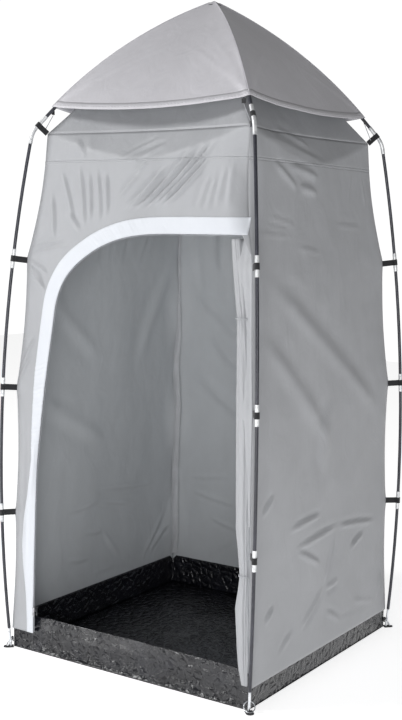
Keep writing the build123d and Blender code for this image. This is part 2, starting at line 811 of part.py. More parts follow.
with BuildPart() as shoulder_straps:
    for angle in CORNERS.values():
        with BuildSketch(across_pole(angle, strap_on_elbow, eave)):
            with Locations(((shoulder_strap_reach - strap_end_gap) / 2, 0)):
                Rectangle(shoulder_strap_reach - strap_end_gap, 2 * webbing)
            Circle(ferrule_radius + strap_slack + webbing)
            Circle(ferrule_radius + strap_slack, mode=Mode.SUBTRACT)
        extrude(amount=shoulder_strap_height / 2, both=True)
save(shoulder_straps, "shoulder_straps")


# ---------------------------------------------------------------- rain cover
def ridge_height(reach):
    """Underside of the cover over a roof rod, at this distance from the axis."""
    if reach >= hub_reach:
        return roof_height(reach) + cover_lift
    return roof_height(hub_reach) + cover_lift + (hub_reach - reach) * math.tan(crown)


def reach_at_height(height):
    """Distance from the axis at which the cover's ridge comes down to this height."""
    low, high = hub_reach, corner_reach
    halvings = 60
    for _ in range(halvings):
        middle = (low + high) / 2.0
        if ridge_height(middle) > height:
            low = middle
        else:
            high = middle
    return low


cover_reach = reach_at_height(cover_hem_height)
cover_stretches = 5
cover_pitch = (cover_reach - hub_reach) / cover_stretches
cover_steps = [cover_reach - cover_pitch * i for i in range(cover_stretches + 1)]
cover_line = [(r / ROOT2, ridge_height(r)) for r in cover_steps]
apex = (0.0, ridge_height(0.0))


def cover_skin(reach):
    """Upright thickness of the cover's skin, so that it is as thick square to its slope."""
    slope = roof_slope(max(reach, hub_reach))
    return cover_cloth * math.hypot(1.0, ROOT2 * math.tan(slope))


cover_top_line = [(r / ROOT2, ridge_height(r) + cover_skin(r)) for r in cover_steps]
apex_top = (0.0, apex[1] + cover_skin(0.0))
for side, angle in SIDES.items():
    with BuildPart() as cover:
        with BuildSketch(upright(angle)):
            with BuildLine():
                Spline(*cover_line)
                Line(cover_line[-1], apex)
                Line(apex, apex_top)
                Line(apex_top, cover_top_line[-1])
                Spline(*cover_top_line[::-1])
                Line(cover_top_line[0], cover_line[0])
            make_face()
        extrude(amount=half_span, both=True)
        mitre(angle)
    save(cover, f"cover_{side}")

# hem: a folded band below the panels, in the line of their lower ends
hem_slope = roof_slope(cover_reach)
hem_run = hem_height / (ROOT2 * math.tan(hem_slope))
hem_low = (cover_line[0][0] + hem_run, cover_hem_height - hem_height)
hem_width = hem_thickness * math.hypot(1.0, 1.0 / (ROOT2 * math.tan(hem_slope)))
with BuildPart() as cover_hem:
    for angle in SIDES.values():
        with BuildPart(mode=Mode.PRIVATE) as hem_side:
            with BuildSketch(upright(angle)):
                with BuildLine():
                    Polyline(
                        cover_line[0],
                        hem_low,
                        (hem_low[0] + hem_width, hem_low[1]),
                        (cover_line[0][0] + hem_width, cover_line[0][1]),
                        close=True,
                    )
                make_face()
            extrude(amount=half_span, both=True)
            mitre(angle)
        add(hem_side.part)
save(cover_hem, "cover_hem")

# tabs hang from the hem beside each corner, and an elastic runs from each down to the shoulder
tab_offset = hem_low[0] + hem_width / 2
with BuildPart() as cover_corner_tabs:
    for angle in SIDES.values():
        with BuildSketch(upright(angle)):
            with Locations((tab_offset, hem_low[1] - cover_tab_drop / 2)):
                Rectangle(webbing, cover_tab_drop)
        extrude(amount=-(tab_offset - cover_tab_place + cover_tab_width / 2))
        with BuildSketch(upright(angle)):
            with Locations((tab_offset, hem_low[1] - cover_tab_drop / 2)):
                Rectangle(2 * webbing, cover_tab_drop + webbing)
        extrude(amount=-(tab_offset - cover_tab_place - cover_tab_width / 2), mode=Mode.SUBTRACT)
save(cover_corner_tabs, "cover_corner_tabs")

tie_lateral = cover_tab_place / ROOT2
tie_reach = (2 * tab_offset - cover_tab_place) / ROOT2
with BuildPart() as cover_hold_downs:
    for angle in SIDES.values():
        corner_angle = angle + 45.0
        plane = upright(corner_angle)
        tangent = plane.z_dir
        top_height = hem_low[1] - cover_tab_drop - hold_down_gap - hold_down_radius
        top_point = world(corner_angle, (tie_reach, top_height))
        top_point = top_point + tangent * tie_lateral
        foot_reach = shoulder[0] + hold_down_foot[0]
        foot_point = world(corner_angle, (foot_reach, shoulder[1] + hold_down_foot[1]))
        foot_point = foot_point + tangent * (webbing + hold_down_radius + strap_slack * 2)
        with BuildLine():
            Line(foot_point, top_point)
        with BuildSketch(Plane(origin=foot_point, z_dir=(top_point - foot_point).normalized())):
            Circle(hold_down_radius)
        sweep()
save(cover_hold_downs, "cover_hold_downs")
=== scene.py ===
"""Looks of a privacy shower tent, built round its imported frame.

Metres, +Z up, in the frame's own axes: the door looks towards -Y. The cabin's cloth, the rain
cover, the ground sheet, the door's band, zip and roll are modelled here; the poles, the metal,
the webbing and the small fittings are the frame's own pieces with finishes of their own.
"""
import logging
import math
from dataclasses import dataclass
from enum import Enum
from typing import Optional, Sequence, Union

import bpy
import numpy as np
from mathutils import Matrix, Vector, noise


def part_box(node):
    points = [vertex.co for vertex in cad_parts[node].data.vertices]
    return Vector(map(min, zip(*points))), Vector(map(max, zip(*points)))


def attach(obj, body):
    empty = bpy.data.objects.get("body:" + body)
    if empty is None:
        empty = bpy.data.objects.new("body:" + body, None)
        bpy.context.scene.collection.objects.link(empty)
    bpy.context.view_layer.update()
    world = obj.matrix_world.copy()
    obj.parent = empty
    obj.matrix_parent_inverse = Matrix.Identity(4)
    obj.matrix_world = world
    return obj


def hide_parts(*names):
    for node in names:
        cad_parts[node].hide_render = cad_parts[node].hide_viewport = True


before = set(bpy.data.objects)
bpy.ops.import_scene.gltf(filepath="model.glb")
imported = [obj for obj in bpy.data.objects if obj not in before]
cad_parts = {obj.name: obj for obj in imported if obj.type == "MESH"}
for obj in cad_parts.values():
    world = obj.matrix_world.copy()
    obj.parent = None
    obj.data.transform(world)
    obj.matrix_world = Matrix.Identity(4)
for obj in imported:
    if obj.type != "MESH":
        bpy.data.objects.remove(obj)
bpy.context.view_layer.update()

LOG = logging.getLogger("shower_tent")
TENT = "tent"
COVER = "rain_cover"
DOOR = "door"
UP = (0.0, 0.0, 1.0)
THREAD_HALVES = (0.0003, 0.0002)
CORNERS = {"front_left": 225.0, "front_right": 315.0, "back_left": 135.0, "back_right": 45.0}
Colour = tuple[float, float, float]
Place = tuple[float, float]
Number = Union[float, "Wire"]


# ------------------------------------------------------------------ shader sockets
class Wire:
    """A node's output that takes part in arithmetic."""

    def __init__(self, nodes: "Nodes", socket: bpy.types.NodeSocket) -> None:
        """Keeps the socket and the nodes that it belongs to."""
        self.nodes = nodes
        self.socket = socket

    def _math(self, operation: str, left: Number, right: Number) -> "Wire":
        """Adds one Math node."""
        return self.nodes.node("ShaderNodeMath", {"operation": operation}, {0: left, 1: right})

    def __add__(self, other: Number) -> "Wire":
        """self + other."""
        return self._math("ADD", self, other)

    __radd__ = __add__

    def __mul__(self, other: Number) -> "Wire":
        """self * other."""
        return self._math("MULTIPLY", self, other)

    __rmul__ = __mul__

    def __sub__(self, other: Number) -> "Wire":
        """self - other."""
        return self._math("SUBTRACT", self, other)

    def __rsub__(self, other: Number) -> "Wire":
        """other - self."""
        return self._math("SUBTRACT", other, self)

    def sine(self) -> "Wire":
        """The sine of self."""
        return self._math("SINE", self, 0.0)

    def steep(self, low: float, high: float) -> "Wire":
        """0 below low, 1 above high, smooth between."""
        settings = {"interpolation_type": "SMOOTHSTEP"}
        return self.nodes.node("ShaderNodeMapRange", settings, {0: self, 1: low, 2: high})


class Nodes:
    """A node tree, and the one way in which nodes are added to it."""

    def __init__(self, tree: bpy.types.NodeTree) -> None:
        """Keeps the tree."""
        self.tree = tree

    def node(
        self,
        kind: str,
        settings: Optional[dict] = None,
        inputs: Optional[dict] = None,
        output: Union[int, str] = 0,
    ) -> Wire:
        """Adds a node.

        Args:
            kind: the node's type.
            settings: its properties, set first.
            inputs: values or wires, by socket name or number.
            output: which output is wanted.

        Returns:
            The wire of that output.
        """
        made = self.tree.nodes.new(kind)
        for key, value in (settings or {}).items():
            setattr(made, key, value)
        for key, value in (inputs or {}).items():
            if isinstance(value, Wire):
                self.tree.links.new(value.socket, made.inputs[key])
            else:
                made.inputs[key].default_value = value
        return Wire(self, made.outputs[output])


class Paint(Nodes):
    """One material while its nodes are being laid."""

    def __init__(self, name: str) -> None:
        """Makes an empty material.

        Args:
            name: its name.
        """
        self.material = bpy.data.materials.new(name)
        self.material.use_nodes = True
        super().__init__(self.material.node_tree)
        self.tree.nodes.clear()

    def place(self) -> Wire:
        """The point's own coordinates, in metres."""
        return self.node("ShaderNodeTexCoord", output="Object")

    def axes(self) -> tuple[Wire, Wire, Wire]:
        """The point's x, y and z."""
        parts = {"Vector": self.place()}
        return tuple(self.node("ShaderNodeSeparateXYZ", None, parts, i) for i in range(3))

    def clouds(
        self, scale: float, detail: float = 3.0, stretch: Colour = (1.0, 1.0, 1.0), twist: float = 0.0
    ) -> Wire:
        """Soft noise from 0 to 1.

        Args:
            scale: patches to the metre.
            detail: octaves.
            stretch: scale along each axis.
            twist: distortion.

        Returns:
            The noise.
        """
        spread = self.node("ShaderNodeMapping", None, {"Vector": self.place(), "Scale": stretch})
        inputs = {"Vector": spread, "Scale": scale, "Detail": detail, "Distortion": twist}
        return self.node("ShaderNodeTexNoise", {"noise_dimensions": "3D"}, inputs)

    def cells(self, scale: float) -> Wire:
        """Distance to the nearest edge between crumpled facets."""
        settings = {"feature": "DISTANCE_TO_EDGE"}
        inputs = {"Vector": self.place(), "Scale": scale}
        return self.node("ShaderNodeTexVoronoi", settings, inputs, "Distance")

    def mixed(self, share: Number, first: Colour, second: Colour) -> Wire:
        """A colour between the first, at share 0, and the second, at 1."""
        inputs = {0: share, 6: (*first, 1.0), 7: (*second, 1.0)}
        return self.node("ShaderNodeMix", {"data_type": "RGBA"}, inputs, 2)

    def bump(self, height: Wire, distance: float, strength: float, under: Optional[Wire] = None) -> Wire:
        """A bump in the surface.

        Args:
            height: its height from 0 to 1.
            distance: metres that a height of 1 stands for.
            strength: share of it that shows.
            under: another bump that it lies on.

        Returns:
            The bent normal.
        """
        inputs = {"Height": height, "Distance": distance, "Strength": strength}
        if under is not None:
            inputs["Normal"] = under
        return self.node("ShaderNodeBump", None, inputs)

    def finish(self, **inputs: object) -> bpy.types.Material:
        """Closes the material with a Principled shader.

        Args:
            inputs: its sockets, with _ for a space.

        Returns:
            The material.
        """
        sockets = {key.replace("_", " "): value for key, value in inputs.items()}
        shader = self.node("ShaderNodeBsdfPrincipled", None, sockets)
        out = self.tree.nodes.new("ShaderNodeOutputMaterial")
        self.tree.links.new(shader.socket, out.inputs["Surface"])
        return self.material


# ------------------------------------------------------------------ finishes
def deeper(colour: Colour, share: float) -> Colour:
    """The colour with its light multiplied by share."""
    return tuple(part * share for part in colour)


@dataclass(frozen=True)
class CoatedCloth:
    """Thin coated polyester: a fine plain weave, faint mottling and packing creases."""

    name: str
    colour: Colour
    roughness: float = 0.5
    sheen: float = 0.15
    mottle: float = 0.9
    weave_pitch: float = 0.0011
    weave_depth: float = 0.00005
    crinkle: float = 0.0006
    mottle_scale: float = 2.4
    wrinkle_scale: float = 11.0
    fine_scale: float = 34.0

    def material(self) -> bpy.types.Material:
        """Builds the cloth's material.

        Returns:
            The material.
        """
        paint = Paint(self.name)
        x, y, z = paint.axes()
        turn = 2.0 * math.pi / self.weave_pitch
        weave = ((x + y) * turn).sine() * (z * turn).sine()
        soft = paint.clouds(self.mottle_scale, 4.0, (1.0, 1.0, 0.6), 0.6)
        fine = paint.clouds(self.fine_scale, 5.0, (1.0, 1.0, 0.5))
        wrinkles = paint.clouds(self.wrinkle_scale, 3.0, (1.0, 1.0, 0.7), 1.6)
        shade = (soft * 0.75 + fine * 0.25 + weave * 0.02).steep(0.3, 0.72)
        colour = paint.mixed(shade, deeper(self.colour, self.mottle), self.colour)
        rough = self.roughness + (fine - 0.5) * 0.16
        normal = paint.bump(wrinkles, self.crinkle * 6.0, 0.55)
        normal = paint.bump(fine, self.crinkle, 0.6, normal)
        normal = paint.bump(weave, self.weave_depth, 0.5, normal)
        return paint.finish(
            Base_Color=colour,
            Roughness=rough,
            Normal=normal,
            Specular_IOR_Level=0.42,
            Sheen_Weight=self.sheen,
            Sheen_Roughness=0.4,
        )


@dataclass(frozen=True)
class PolySheet:
    """Black woven polyethylene sheet, laminated and glossy, with sharp crumples."""

    name: str
    colour: Colour = (0.0050, 0.0053, 0.0082)
    dusty: Colour = (0.0110, 0.0118, 0.0175)
    tape_pitch: float = 0.0026
    tape_depth: float = 0.00012
    facet_scale: float = 34.0
    facet_depth: float = 0.0050
    small_scale: float = 95.0
    small_depth: float = 0.0012

    def material(self) -> bpy.types.Material:
        """Builds the sheet's material.

        Returns:
            The material.
        """
        paint = Paint(self.name)
        x, y, z = paint.axes()
        turn = 2.0 * math.pi / self.tape_pitch
        tapes = ((x + z) * turn).sine() * ((y + z) * turn).sine()
        dust = paint.clouds(7.0, 5.0, twist=0.8)
        facets = paint.cells(self.facet_scale).steep(0.0, 0.35)
        small = paint.cells(self.small_scale).steep(0.0, 0.4)
        film = paint.clouds(60.0, 4.0)
        colour = paint.mixed(dust.steep(0.38, 0.75), self.colour, self.dusty)
        rough = 0.12 + dust * 0.14 + film * 0.07
        normal = paint.bump(facets, self.facet_depth, 0.85)
        normal = paint.bump(small, self.small_depth, 0.6, normal)
        normal = paint.bump(tapes, self.tape_depth, 0.4, normal)
        return paint.finish(
            Base_Color=colour,
            Roughness=rough,
            Normal=normal,
            Specular_IOR_Level=0.6,
            Coat_Weight=0.25,
            Coat_Roughness=0.2,
        )


@dataclass(frozen=True)
class Webbing:
    """Woven tape or elastic: ribs across and a herringbone along."""

    name: str
    colour: Colour
    light: Colour
    rib: float = 0.0016
    depth: float = 0.00025
    roughness: float = 0.8

    def material(self) -> bpy.types.Material:
        """Builds the tape's material.

        Returns:
            The material.
        """
        paint = Paint(self.name)
        x, y, z = paint.axes()
        turn = 2.0 * math.pi / self.rib
        ribs = (z * turn).sine()
        cross = ((x + y) * (turn * 0.5)).sine()
        weave = ribs * 0.7 + ribs * cross * 0.3
        fuzz = paint.clouds(420.0, 3.0)
        wear = paint.clouds(22.0, 4.0)
        shade = (weave * 0.3 + fuzz * 0.5 + wear * 0.4).steep(0.3, 1.0)
        colour = paint.mixed(shade, self.colour, self.light)
        normal = paint.bump(weave, self.depth, 0.7)
        normal = paint.bump(fuzz, 0.0001, 0.5, normal)
        rough = self.roughness - wear * 0.12
        return paint.finish(Base_Color=colour, Roughness=rough, Normal=normal, Sheen_Weight=0.2)


@dataclass(frozen=True)
class PoleResin:
    """Pultruded fibreglass rod: long fibres under a glossy resin skin."""

    name: str
    colour: Colour = (0.022, 0.023, 0.032)
    fibre: Colour = (0.075, 0.078, 0.1)

    def material(self) -> bpy.types.Material:
        """Builds the rod's material.

        Returns:
            The material.
        """
        paint = Paint(self.name)
        fibres = paint.clouds(900.0, 3.0, (1.0, 1.0, 0.02))
        scuffs = paint.clouds(30.0, 5.0, (1.0, 1.0, 0.3))
        colour = paint.mixed((fibres * 0.6 + scuffs * 0.4).steep(0.42, 0.72), self.colour, self.fibre)
        rough = 0.2 + scuffs * 0.22
        normal = paint.bump(fibres, 0.00008, 0.5)
        return paint.finish(Base_Color=colour, Roughness=rough, Normal=normal, Specular_IOR_Level=0.6)


@dataclass(frozen=True)
class PlatedSteel:
    """Plated tube or wire: bright, with fine draw lines and a little dullness."""

    name: str
    colour: Colour = (0.86, 0.87, 0.88)
    dull: Colour = (0.5, 0.51, 0.53)
    roughness: float = 0.2
    metallic: float = 1.0

    def material(self) -> bpy.types.Material:
        """Builds the metal's material.

        Returns:
            The material.
        """
        paint = Paint(self.name)
        lines = paint.clouds(700.0, 2.0, (1.0, 1.0, 0.03))
        stain = paint.clouds(55.0, 5.0)
        colour = paint.mixed(stain.steep(0.42, 0.75), self.colour, self.dull)
        rough = self.roughness + stain * 0.18 + lines * 0.08
        normal = paint.bump(lines, 0.00005, 0.4)
        return paint.finish(Base_Color=colour, Metallic=self.metallic, Roughness=rough, Normal=normal)


@dataclass(frozen=True)
class MouldedPlastic:
    """Moulded nylon: an even colour with a fine spark-eroded grain and rubbed spots."""

    name: str
    colour: Colour = (0.02, 0.021, 0.023)
    rubbed: Colour = (0.06, 0.062, 0.066)

    def material(self) -> bpy.types.Material:
        """Builds the plastic's material.

        Returns:
            The material.
        """
        paint = Paint(self.name)
        grain = paint.clouds(1300.0, 2.0)
        rub = paint.clouds(45.0, 5.0)
        colour = paint.mixed(rub.steep(0.5, 0.8), self.colour, self.rubbed)
        normal = paint.bump(grain, 0.00006, 0.6)
        return paint.finish(Base_Color=colour, Roughness=0.42 + grain * 0.12, Normal=normal)


@dataclass(frozen=True)
class NetCloth:
    """Knitted vent mesh: dark threads round open diamonds."""

    name: str
    colour: Colour = (0.05, 0.052, 0.055)
    pitch: float = 0.0035
    open_share: float = 0.3

    def material(self) -> bpy.types.Material:
        """Builds the net's material.

        Returns:
            The material.
        """
        paint = Paint(self.name)
        x, y, _ = paint.axes()
        turn = 2.0 * math.pi / self.pitch
        threads = ((x + y) * turn).sine() * ((x - y) * turn).sine()
        fuzz = paint.clouds(300.0, 3.0)
        alpha = 1.0 - (threads * threads).steep(self.open_share, self.open_share + 0.2)
        colour = paint.mixed(fuzz, deeper(self.colour, 0.7), self.colour)
        normal = paint.bump(threads, 0.0003, 0.6)
        return paint.finish(Base_Color=colour, Roughness=0.8, Alpha=alpha, Normal=normal)


class Kit:
    """Every finish of the tent, made once and shared."""

    def __init__(self) -> None:
        """Builds the materials."""
        silver = (0.436, 0.445, 0.466)
        # lining: the cloth's paler inner side, made lighter still as painted light that stands in for
        # daylight shining through the thin walls into the cabin and under the cover
        lining = (0.575, 0.596, 0.618)
        ripe = (0.640, 0.632, 0.668)
        white = (0.73, 0.757, 0.805)
        black, black_worn = (0.008, 0.008, 0.01), (0.03, 0.031, 0.036)
        pale, pale_worn = (0.50, 0.51, 0.53), (0.74, 0.75, 0.78)
        chalk, chalk_worn = (0.6, 0.6, 0.62), (0.85, 0.85, 0.87)
        grey, grey_worn = (0.35, 0.36, 0.38), (0.62, 0.63, 0.66)
        tape, tape_worn = (0.2, 0.205, 0.22), (0.4, 0.41, 0.44)
        self.wall = CoatedCloth("wall_cloth_outside", silver).material()
        # the inner faces of the walls, roof and rain cover share this lining, whose colour carries painted
        # light from daylight passing through the cloth
        self.lining = CoatedCloth("wall_cloth_inside_painted_glow", lining, 0.6, 0.05, 0.92).material()
        self.cover = CoatedCloth("cover_cloth_outside", ripe, 0.46, 0.2).material()
        self.door = CoatedCloth("door_cloth", deeper(silver, 1.03), 0.5, 0.2, 0.93, crinkle=0.0009).material()
        self.band = CoatedCloth("band_cloth", white, 0.5, 0.1, 0.95, crinkle=0.0004).material()
        self.sheet = PolySheet("ground_sheet").material()
        self.webbing = Webbing("black_webbing", black, black_worn).material()
        self.binding = Webbing("seam_binding", pale, pale_worn, 0.001, 0.0001).material()
        self.thread = Webbing("white_thread", chalk, chalk_worn, 0.0008, 0.0001, 0.6).material()
        self.elastic = Webbing("grey_elastic", grey, grey_worn, 0.0012).material()
        self.cord = Webbing("shock_cord", (0.015, 0.015, 0.017), (0.3, 0.3, 0.31), 0.0012).material()
        self.zip_tape = Webbing("zip_tape", tape, tape_worn, 0.0009, 0.0001).material()
        self.resin = PoleResin("pole_resin").material()
        self.ferrule = PlatedSteel("ferrule_plate", roughness=0.3, metallic=0.55).material()
        self.ring = PlatedSteel("ring_plate", (0.8, 0.82, 0.85), (0.42, 0.44, 0.47), 0.16).material()
        self.zip_metal = PlatedSteel("zip_plate", (0.5, 0.5, 0.52), (0.2, 0.2, 0.21), 0.3).material()
        self.plastic = MouldedPlastic("hub_nylon").material()
        self.coil = MouldedPlastic("zip_coil", (0.35, 0.36, 0.39), (0.5, 0.51, 0.54)).material()
        self.net = NetCloth("vent_net").material()


# ------------------------------------------------------------------ mesh making
class Shape:
    """Vertices and faces gathered from several patches, for one piece."""

    def __init__(self) -> None:
        """Starts empty."""
        self.points: list[np.ndarray] = []
        self.faces: list[tuple[int, ...]] = []
        self.count = 0

    def add(self, points: np.ndarray, faces: Sequence[Sequence[int]]) -> None:
        """Adds a patch.

        Args:
            points: its vertices, n by 3.
            faces: its faces, by vertex number within the patch.
        """
        self.points.append(np.asarray(points, float).reshape(-1, 3))
        self.faces.extend(tuple(i + self.count for i in face) for face in faces)
        self.count += len(self.points[-1])

    def grid(self, points: np.ndarray, flip: bool = False, wrap: bool = False) -> None:
        """Adds a grid of quads.

        Args:
            points: rows by columns by 3.
            flip: turns the faces over.
            wrap: joins the last column to the first.
        """
        rows, columns = points.shape[:2]
        faces = []
        for i in range(rows - 1):
            for j in range(columns if wrap else columns - 1):
                k = (j + 1) % columns
                quad = (i * columns + j, i * columns + k, (i + 1) * columns + k, (i + 1) * columns + j)
                faces.append(quad[::-1] if flip else quad)
        self.add(points, faces)

    def tube(self, line: np.ndarray, radius: float, sides: int = 8) -> None:
        """Adds a closed round tube.

        Args:
            line: points along its middle.
            radius: in metres.
            sides: of its section.
        """
        rings = []
        for i, point in enumerate(line):
            ahead = line[min(i + 1, len(line) - 1)] - line[max(i - 1, 0)]
            ahead = ahead / np.linalg.norm(ahead)
            across = np.cross(ahead, (0.31, 0.17, 0.93))
            across = across / np.linalg.norm(across)
            other = np.cross(ahead, across)
            turns = np.linspace(0.0, 2.0 * math.pi, sides, endpoint=False)
            rings.append(point + radius * (np.outer(np.cos(turns), across) + np.outer(np.sin(turns), other)))
        start = self.count
        self.grid(np.array(rings), wrap=True)
        last = start + (len(rings) - 1) * sides
        self.faces.append(tuple(range(start, start + sides))[::-1])
        self.faces.append(tuple(range(last, last + sides)))

    def block(self, centre: np.ndarray, axes: Sequence[np.ndarray], halves: Sequence[float]) -> None:
        """Adds a small block with bevelled ends, such as a tooth or a stitch.

        Args:
            centre: its middle.
            axes: its length's direction and the two across it.
            halves: half its size along each.
        """
        along, across, out = (np.asarray(axis) * half for axis, half in zip(axes, halves))
        rings = []
        corners = ((-1, -1), (1, -1), (1, 1), (-1, 1))
        for place, size in ((-1.0, 0.55), (-0.7, 1.0), (0.7, 1.0), (1.0, 0.55)):
            middle = centre + along * place
            rings.append([middle + size * (across * a + out * b) for a, b in corners])
        start = self.count
        self.grid(np.array(rings), wrap=True)
        self.faces.append((start + 3, start + 2, start + 1, start))
        self.faces.append((start + 12, start + 13, start + 14, start + 15))

    def piece(
        self, name: str, materials: Sequence[bpy.types.Material], weld: float = 0.0
    ) -> bpy.types.Object:
        """Makes the object.

        Args:
            name: the piece's name.
            materials: its material slots.
            weld: distance at which vertices join, or 0 for none.

        Returns:
            The object, smooth shaded.
        """
        mesh = bpy.data.meshes.new(name)
        mesh.from_pydata(np.concatenate(self.points).tolist(), [], self.faces)
        for material in materials:
            mesh.materials.append(material)
        mesh.polygons.foreach_set("use_smooth", [True] * len(mesh.polygons))
        made = bpy.data.objects.new(name, mesh)
        bpy.context.scene.collection.objects.link(made)
        if weld > 0.0:
            joined = made.modifiers.new("weld", "WELD")
            joined.merge_threshold = weld
        return made


def thicken(piece: bpy.types.Object, thickness: float, lining: bool = False) -> bpy.types.Object:
    """Gives a sheet its thickness, inwards from its outer face.

    Args:
        piece: the sheet.
        thickness: in metres.
        lining: whether the inner face takes the second material.

    Returns:
        The sheet.
    """
    skin = piece.modifiers.new("skin", "SOLIDIFY")
    skin.thickness = thickness
    skin.offset = -1.0
    skin.use_even_offset = False
    skin.material_offset = 1 if lining else 0
    return piece


def settle(piece: bpy.types.Object, body: str, node: str = "") -> bpy.types.Object:
    """Gives a piece its body, hides the frame's node that it stands for, and reports it.

    Args:
        piece: the piece.
        body: the body that it rides.
        node: the frame's node that it stands for, if it stands for one.

    Returns:
        The piece.
    """
    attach(piece, body)
    if node:
        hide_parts(node)
    LOG.info("%s: %d faces, rides %s", piece.name, len(piece.data.polygons), body)
    return piece


def smooth(low: float, high: float, value: np.ndarray) -> np.ndarray:
    """0 below low, 1 above high, smooth between."""
    share = np.clip((np.asarray(value, float) - low) / (high - low), 0.0, 1.0)
    return share * share * (3.0 - 2.0 * share)


def crumple(points: np.ndarray, scale: float, seed: float) -> np.ndarray:
    """Sharp-ridged noise from about -1 to 1 at each point.

    Args:
        points: n by 3.
        scale: ridges to the metre.
        seed: shifts the pattern.

    Returns:
        One value to a point.
    """
    shift = Vector((seed, seed * 1.7, seed * 0.6))
    found = [noise.ridged_multi_fractal(Vector(p) * scale + shift, 0.9, 2.1, 4, 1.0, 2.0) for p in points]
    return np.array(found) * 0.6 - 1.0


def ripple(points: np.ndarray, scale: float, seed: float) -> np.ndarray:
    """Soft noise from about -1 to 1 at each point."""
    shift = Vector((seed, seed * 0.3, -seed))
    return np.array([noise.noise(Vector(p) * scale + shift) for p in points])


# ------------------------------------------------------------------ the cabin's surface
class Side(Enum):
    """The cabin's sides, by the angle that each looks towards."""

    FRONT = 270.0
    RIGHT = 0.0
    BACK = 90.0
    LEFT = 180.0

    @property
    def outward(self) -> np.ndarray:
        """The direction that the side looks in."""
        turn = math.radians(self.value)
        return np.array((math.cos(turn), math.sin(turn), 0.0))

    @property
    def along(self) -> np.ndarray:
        """The direction to the viewer's right, looking at the side from outside."""
        turn = math.radians(self.value)
        return np.array((-math.sin(turn), math.cos(turn), 0.0))

    @property
    def word(self) -> str:
        """The side's name in the frame."""
        return self.name.lower()

    @property
    def corners(self) -> tuple[str, str]:
        """The corners at the side's two ends."""
        return {
            Side.FRONT: ("front_left", "front_right"),
            Side.RIGHT: ("front_right", "back_right"),
            Side.BACK: ("back_right", "back_left"),
            Side.LEFT: ("back_left", "front_left"),
        }[self]


@dataclass(frozen=True)
class Crease:
    """A fold in a side's cloth: a ridge with a valley beside it, from start to end.

    Places are (metres to the right of the side's middle, height).
    """

    start: Place
    end: Place
    depth: float
    width: float
    bow: float = 0.0

    def lift(self, across: np.ndarray, height: np.ndarray) -> np.ndarray:
        """How far the fold lifts each point.

        Args:
            across: places to the right of the side's middle.
            height: heights.

        Returns:
            Lifts in metres, outwards.
        """
        run = np.array(self.end) - np.array(self.start)
        length = float(np.hypot(*run))
        run = run / length
        du = across - self.start[0]
        dz = height - self.start[1]
        share = (du * run[0] + dz * run[1]) / length
        inside = np.clip(share, 0.0, 1.0)
        off = dz * run[0] - du * run[1] - self.bow * 4.0 * inside * (1.0 - inside)
        spread = self.width * (0.75 + 0.25 * np.sin(math.pi * inside))
        strength = smooth(-0.02, 0.3, share) * (1.0 - smooth(0.7, 1.02, share))
        ridge = np.exp(-((off / spread) ** 2))
        valley = 0.55 * np.exp(-(((off - 1.7 * spread) / (1.25 * spread)) ** 2))
        return self.depth * strength * (ridge - valley)


def creases(
    ends: Sequence[tuple[Place, Place]], depth: float, width: float, bow: float = 0.0
) -> list[Crease]:
    """Folds of one kind, each from its first place to its second."""
    return [Crease(start, end, depth, width, bow) for start, end in ends]


def comb(
    first: tuple[Place, Place],
    last: tuple[Place, Place],
    count: int,
    depth: float,
    width: float,
    seed: int,
) -> list[Crease]:
    """A row of folds between a first and a last one, a little uneven.

    Args:
        first: start and end of the first fold.
        last: start and end of the last fold.
        count: how many.
        depth: mean depth.
        width: mean width.
        seed: of the unevenness.

    Returns:
        The folds.
    """
    rng = np.random.default_rng(seed)
    folds = []
    for i in range(count):
        share = (i + rng.uniform(-0.3, 0.3)) / max(count - 1, 1)
        ends = [tuple(np.array(a) + (np.array(b) - np.array(a)) * share) for a, b in zip(first, last)]
        deep = depth * rng.uniform(0.6, 1.25)
        wide = width * rng.uniform(0.75, 1.3)
        folds.append(Crease(*ends, deep, wide, rng.uniform(-0.012, 0.012)))
    return folds


